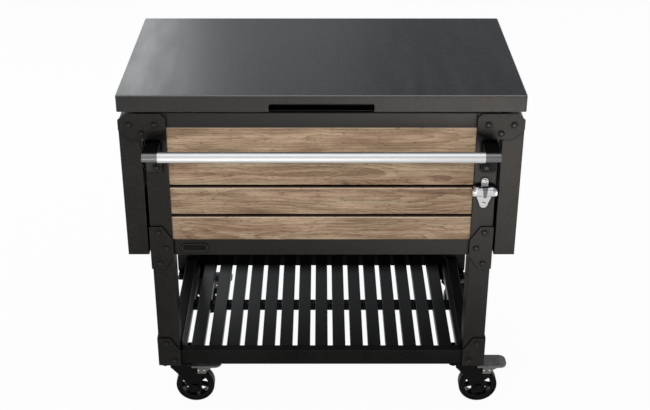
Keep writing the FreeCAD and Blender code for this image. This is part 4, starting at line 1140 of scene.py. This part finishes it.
# %% [markdown]
# A bolt whose solid is taller than it is wide is a caster bolt and has a hex head. The two
# screws inside the opener's box are bright and have no washer, so they become a piece of
# their own. All the others are black.

# %% Bolts
TALLER_BY = 1.0 * MM


def in_opener(centre):
    low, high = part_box("bottle_opener")
    return centre.y < 0 and low.x < centre.x < high.x and low.z < centre.z < high.z


dark_bolts = []
bright_screws = []
for low, high in bolt_boxes:
    if high.z - low.z > high.x - low.x + TALLER_BY:
        dark_bolts.append(place_hex(low, high))
    elif in_opener(middle((low, high))):
        bright_screws.append(place_round(low, high, with_washer=False))
    else:
        dark_bolts.append(place_round(low, high))
pivots = [place_round(low, high) for low, high in pivot_boxes]
print(len(dark_bolts), "dark bolts,", len(bright_screws), "bright screws,", len(washers), "washers")
join_piece(dark_bolts, "frame_bolts", "black_fasteners", "black_fasteners", "frame", "plate_bolts")
# The washers' dull black finish paints the shade ring round each bolt head.
join_piece(washers, "bolt_washers", "shelf_black", "black_fasteners", "frame")
join_piece(pivots, "pivot_bolts", "black_fasteners", "black_fasteners", "frame", "leaf_pivot_bolts")
opener_screws = join_piece(bright_screws, "opener_screws", "opener_chrome", "opener_chrome", "frame")

# %% [markdown]
# The solid of an axle is a rod with two round ends. A real one is a long hex bolt with a nut,
# so each axle is replaced by a copy of one, lying along Y.

# %% Axles
CORNERS = ("front_left", "front_right", "back_left", "back_right")
AXLE_HEAD = 3.6 * MM
AXLE_RADIUS = 4.0 * MM
for corner in CORNERS:
    low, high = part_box("caster_axle_" + corner)
    centre = middle((low, high))
    end = AXLE_HEAD + HEX_RISE
    length = high.y - low.y - 2 * end
    source = model(hex_bolt, (high.x - low.x) / 2, AXLE_HEAD, AXLE_RADIUS, length, length, AXLE_HEAD)
    axle = copy_to(source, (centre.x, high.y - end, centre.z), TO_FRONT)
    join_piece([axle], "axle_" + corner, "caster_steel", "caster_steel",
               "swivel_" + corner, "caster_axle_" + corner)
print("axle bolts", round(length / MM, 1), "mm between head and nut")

# %% [markdown]
# Two small bright rivets show on each side wall of a brake pedal. One is a short disc with a
# rounded top edge, and four copies of it sit on each pedal.

# %% Rivets
RIVET_RADIUS = 2.4 * MM
RIVET_HEIGHT = 0.9 * MM
RIVET_ROUNDING = 0.9
RIVET_SIDES = 20
RIVET_PLACES = (18.0 * MM, 33.0 * MM)
RIVET_RISE = 10.5 * MM
WALL_INSET = 1.0 * MM


def rivet():
    piece = begin_disc(RIVET_SIDES, RIVET_RADIUS, RIVET_HEIGHT)
    round_top(piece, RIVET_HEIGHT * RIVET_ROUNDING, segments=4)
    return end_piece(piece)


for corner in CORNERS:
    low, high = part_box("caster_pedal_" + corner)
    rivets = []
    for along in RIVET_PLACES:
        for y, turn in ((low.y + WALL_INSET, TO_FRONT), (high.y - WALL_INSET, TO_BACK)):
            rivets.append(copy_to(model(rivet), (low.x + along, y, low.z + RIVET_RISE), turn))
    join_piece(rivets, "pedal_rivets_" + corner, "opener_chrome", "opener_chrome", "pedal_" + corner)
for source in models.values():
    bpy.data.objects.remove(source)
print(len(models), "models were copied and removed")

# %% [markdown]
# ## Oval plate
# A small plate with round ends sits at the left of the bottom rail. It is bare: a thin plate
# with a raised rim. A filled circle becomes a long one when its left half is moved left and
# its right half right. An extrude gives it thickness, and the rim comes from an inset whose
# middle is pushed back.

# %% Oval plate
PLATE_WIDTH = 66.0 * MM
PLATE_HEIGHT = 22.0 * MM
PLATE_THICKNESS = 2.0 * MM
PLATE_LEFT = 20.0 * MM
PLATE_RIM = 1.8 * MM
PLATE_SINK = 1.2 * MM
OFF_MIDDLE = 0.1 * MM
rail_low, rail_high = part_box("front_bottom_rail")

begin_piece()
bpy.ops.mesh.primitive_circle_add(vertices=64, radius=PLATE_HEIGHT / 2, fill_type="NGON", location=(0, 0, 0))
oval = bpy.context.object
bpy.ops.object.mode_set(mode="EDIT")
stretch = (PLATE_WIDTH - PLATE_HEIGHT) / 2
for side in (-1, 1):
    pick(oval, lambda vert: vert.co.x * side > OFF_MIDDLE, "VERT")
    bpy.ops.transform.translate(value=(side * stretch, 0, 0))
bpy.ops.mesh.select_mode(type="FACE")
bpy.ops.mesh.select_all(action="SELECT")
raise_faces(PLATE_THICKNESS)
bpy.ops.mesh.select_all(action="SELECT")
bpy.ops.mesh.normals_make_consistent(inside=False)
pick(oval, lambda face: face.normal.z > LOOKS_ALONG)
bpy.ops.mesh.inset(thickness=PLATE_RIM, depth=0.0)
bpy.ops.mesh.inset(thickness=PLATE_SINK / 2, depth=-PLATE_SINK)
end_piece(oval)
oval.rotation_euler = TO_FRONT
oval.location = (rail_low.x + PLATE_LEFT + PLATE_WIDTH / 2, rail_low.y, (rail_low.z + rail_high.z) / 2)
join_piece([oval], "oval_plate", "shelf_black", "black_casting", "frame")

# %% [markdown]
# ## Floor, light and background
# The cart stands on a plain pale floor, so large that it fills the picture. Rays from the
# camera, and mirror-like ones, see it nearly white, with a faint shadow left in it. All other
# rays see an ordinary pale floor, so the cart isn't lit by the white.

# %% Floor
FLOOR_SIZE = 240.0
FLOOR_GLOW = 0.96
FLOOR_COLOR = neutral(0.86)

begin_piece()
bpy.ops.mesh.primitive_plane_add(size=FLOOR_SIZE, location=(0, 0, 0))
floor = bpy.context.object
floor.name = "studio_floor"
floor_material, tree, shader = start_material("studio_floor", roughness=0.9, specular=0.1)
shader.inputs["Base Color"].default_value = FLOOR_COLOR
glow = add_node(tree, "ShaderNodeEmission", (0, -400), {"Color": neutral(1.0), "Strength": 1.0})
path = add_node(tree, "ShaderNodeLightPath", (-600, 300)).outputs
seen = math_node(tree, "MAXIMUM", path["Is Camera Ray"], path["Is Glossy Ray"], (-400, 300))
seen = math_node(tree, "MAXIMUM", seen, path["Is Transmission Ray"], (-200, 300))
amount = math_node(tree, "MULTIPLY", seen, FLOOR_GLOW, (0, 300))
sides = {"Fac": amount, 1: shader.outputs["BSDF"], 2: glow.outputs["Emission"]}
either = add_node(tree, "ShaderNodeMixShader", (300, 0), sides)
tree.links.new(either.outputs["Shader"], tree.nodes["Material Output"].inputs["Surface"])
floor.data.materials.append(floor_material)
print("floor", FLOOR_SIZE, "m wide")

# %% [markdown]
# The world is an even, slightly cool fill light. It is weak, so that the lamps shape the cart.

# %% World
WORLD_COLOR = (0.90, 0.95, 1.0, 1.0)
WORLD_STRENGTH = 0.40

world = bpy.data.worlds.new("studio")
bpy.context.scene.world = world
world.use_nodes = True
fill = world.node_tree.nodes["Background"]
fill.inputs["Color"].default_value = WORLD_COLOR
fill.inputs["Strength"].default_value = WORLD_STRENGTH
print("world at strength", WORLD_STRENGTH)

# %% [markdown]
# The lamps are large, so their edges are soft. One stands behind on the left, low enough for
# its gleam to run across the left end of the worktop, and a faint wide one beside it carries
# the gleam on to the middle. Two in front and one above light the boards.

# %% Lamps
COOL = (0.94, 0.97, 1.0)
WARM = (1.0, 0.96, 0.92)


def soft_lamp(name, place, aim, size, power, color=(1.0, 1.0, 1.0)):
    data = bpy.data.lights.new(name, "AREA")
    data.shape = "RECTANGLE"
    data.size, data.size_y = size
    data.energy = power
    data.color = color
    lamp = bpy.data.objects.new(name, data)
    bpy.context.scene.collection.objects.link(lamp)
    lamp.location = place
    lamp.rotation_euler = (Vector(aim) - Vector(place)).to_track_quat("-Z", "Y").to_euler()
    lamp.visible_camera = False
    return lamp


soft_lamp("back_left", (-1.42, 2.4, 1.9), (-1.0, 0.0, 0.9), size=(1.5, 1.2), power=21.5, color=COOL)
wide_lamp = soft_lamp("back_wide", (-0.5, 2.4, 1.9), (-0.5, 0.0, 0.9), size=(1.4, 1.2), power=2.2, color=COOL)
soft_lamp("front_wall", (-0.8, -3.6, 2.0), (0.0, 0.0, 0.6), size=(3.2, 2.2), power=14, color=WARM)
soft_lamp("front_low", (-0.4, -3.6, 1.15), (0.0, 0.0, 0.75), size=(3.2, 0.9), power=10, color=WARM)
soft_lamp("top", (0.0, -1.0, 3.4), (0.0, 0.0, 0.8), size=(3.0, 3.0), power=35)
print(len(bpy.data.lights), "lamps stand round the cart")


# %% [markdown]
# Upright black faces mirror the floor in front of them, so panels that lie on the floor and
# shine upwards give the coat its gloss. The strongest lies on the right, which makes that
# side of the cart lighter than the left. Three more do the same work for the sides and the
# back.

# %% Panels on the floor
PANEL_HEIGHT = 0.02
PANEL_AIM = 2.0
PANEL_SIZE = (1.6, 1.6)
PANEL_AWAY = 2.1
PANEL_POWER = 30


def floor_panel(name, x, y, size=PANEL_SIZE, power=PANEL_POWER):
    return soft_lamp(name, (x, y, PANEL_HEIGHT), (x, y, PANEL_AIM), size, power, WARM)


floor_panel("low_middle", -0.28, -2.1, size=(1.1, 0.5), power=13)
right_panel = floor_panel("low_right", 0.86, -2.0, size=(1.28, 1.6), power=56)
floor_panel("side_left", -PANEL_AWAY, 0.0)
floor_panel("side_right", PANEL_AWAY, 0.0)
floor_panel("behind", 0.0, PANEL_AWAY)
print(len(bpy.data.lights), "lamps with the panels")


# %% [markdown]
# The strong panel would bleach the boards, the bar and the opener, and the slats mirror the
# wide lamp. Light linking keeps a lamp off chosen pieces: they go into a collection that the
# lamp leaves out, and their other light stays as it is.

# %% Keep two lamps off some pieces
def keep_off(lamp, pieces):
    """The lamp stops shining on these pieces."""
    shaded = bpy.data.collections.new(lamp.name + "_off")
    for piece in pieces:
        shaded.objects.link(piece)
    lamp.light_linking.receiver_collection = shaded
    for member in shaded.collection_objects:
        member.light_linking.link_state = "EXCLUDE"


pale_names = ("bottle_opener", "towel_bar", "towel_bar_brackets", *boards)
keep_off(right_panel, [NODES[name] for name in pale_names] + [opener_screws])
keep_off(wide_lamp, [NODES["shelf_slats"]])
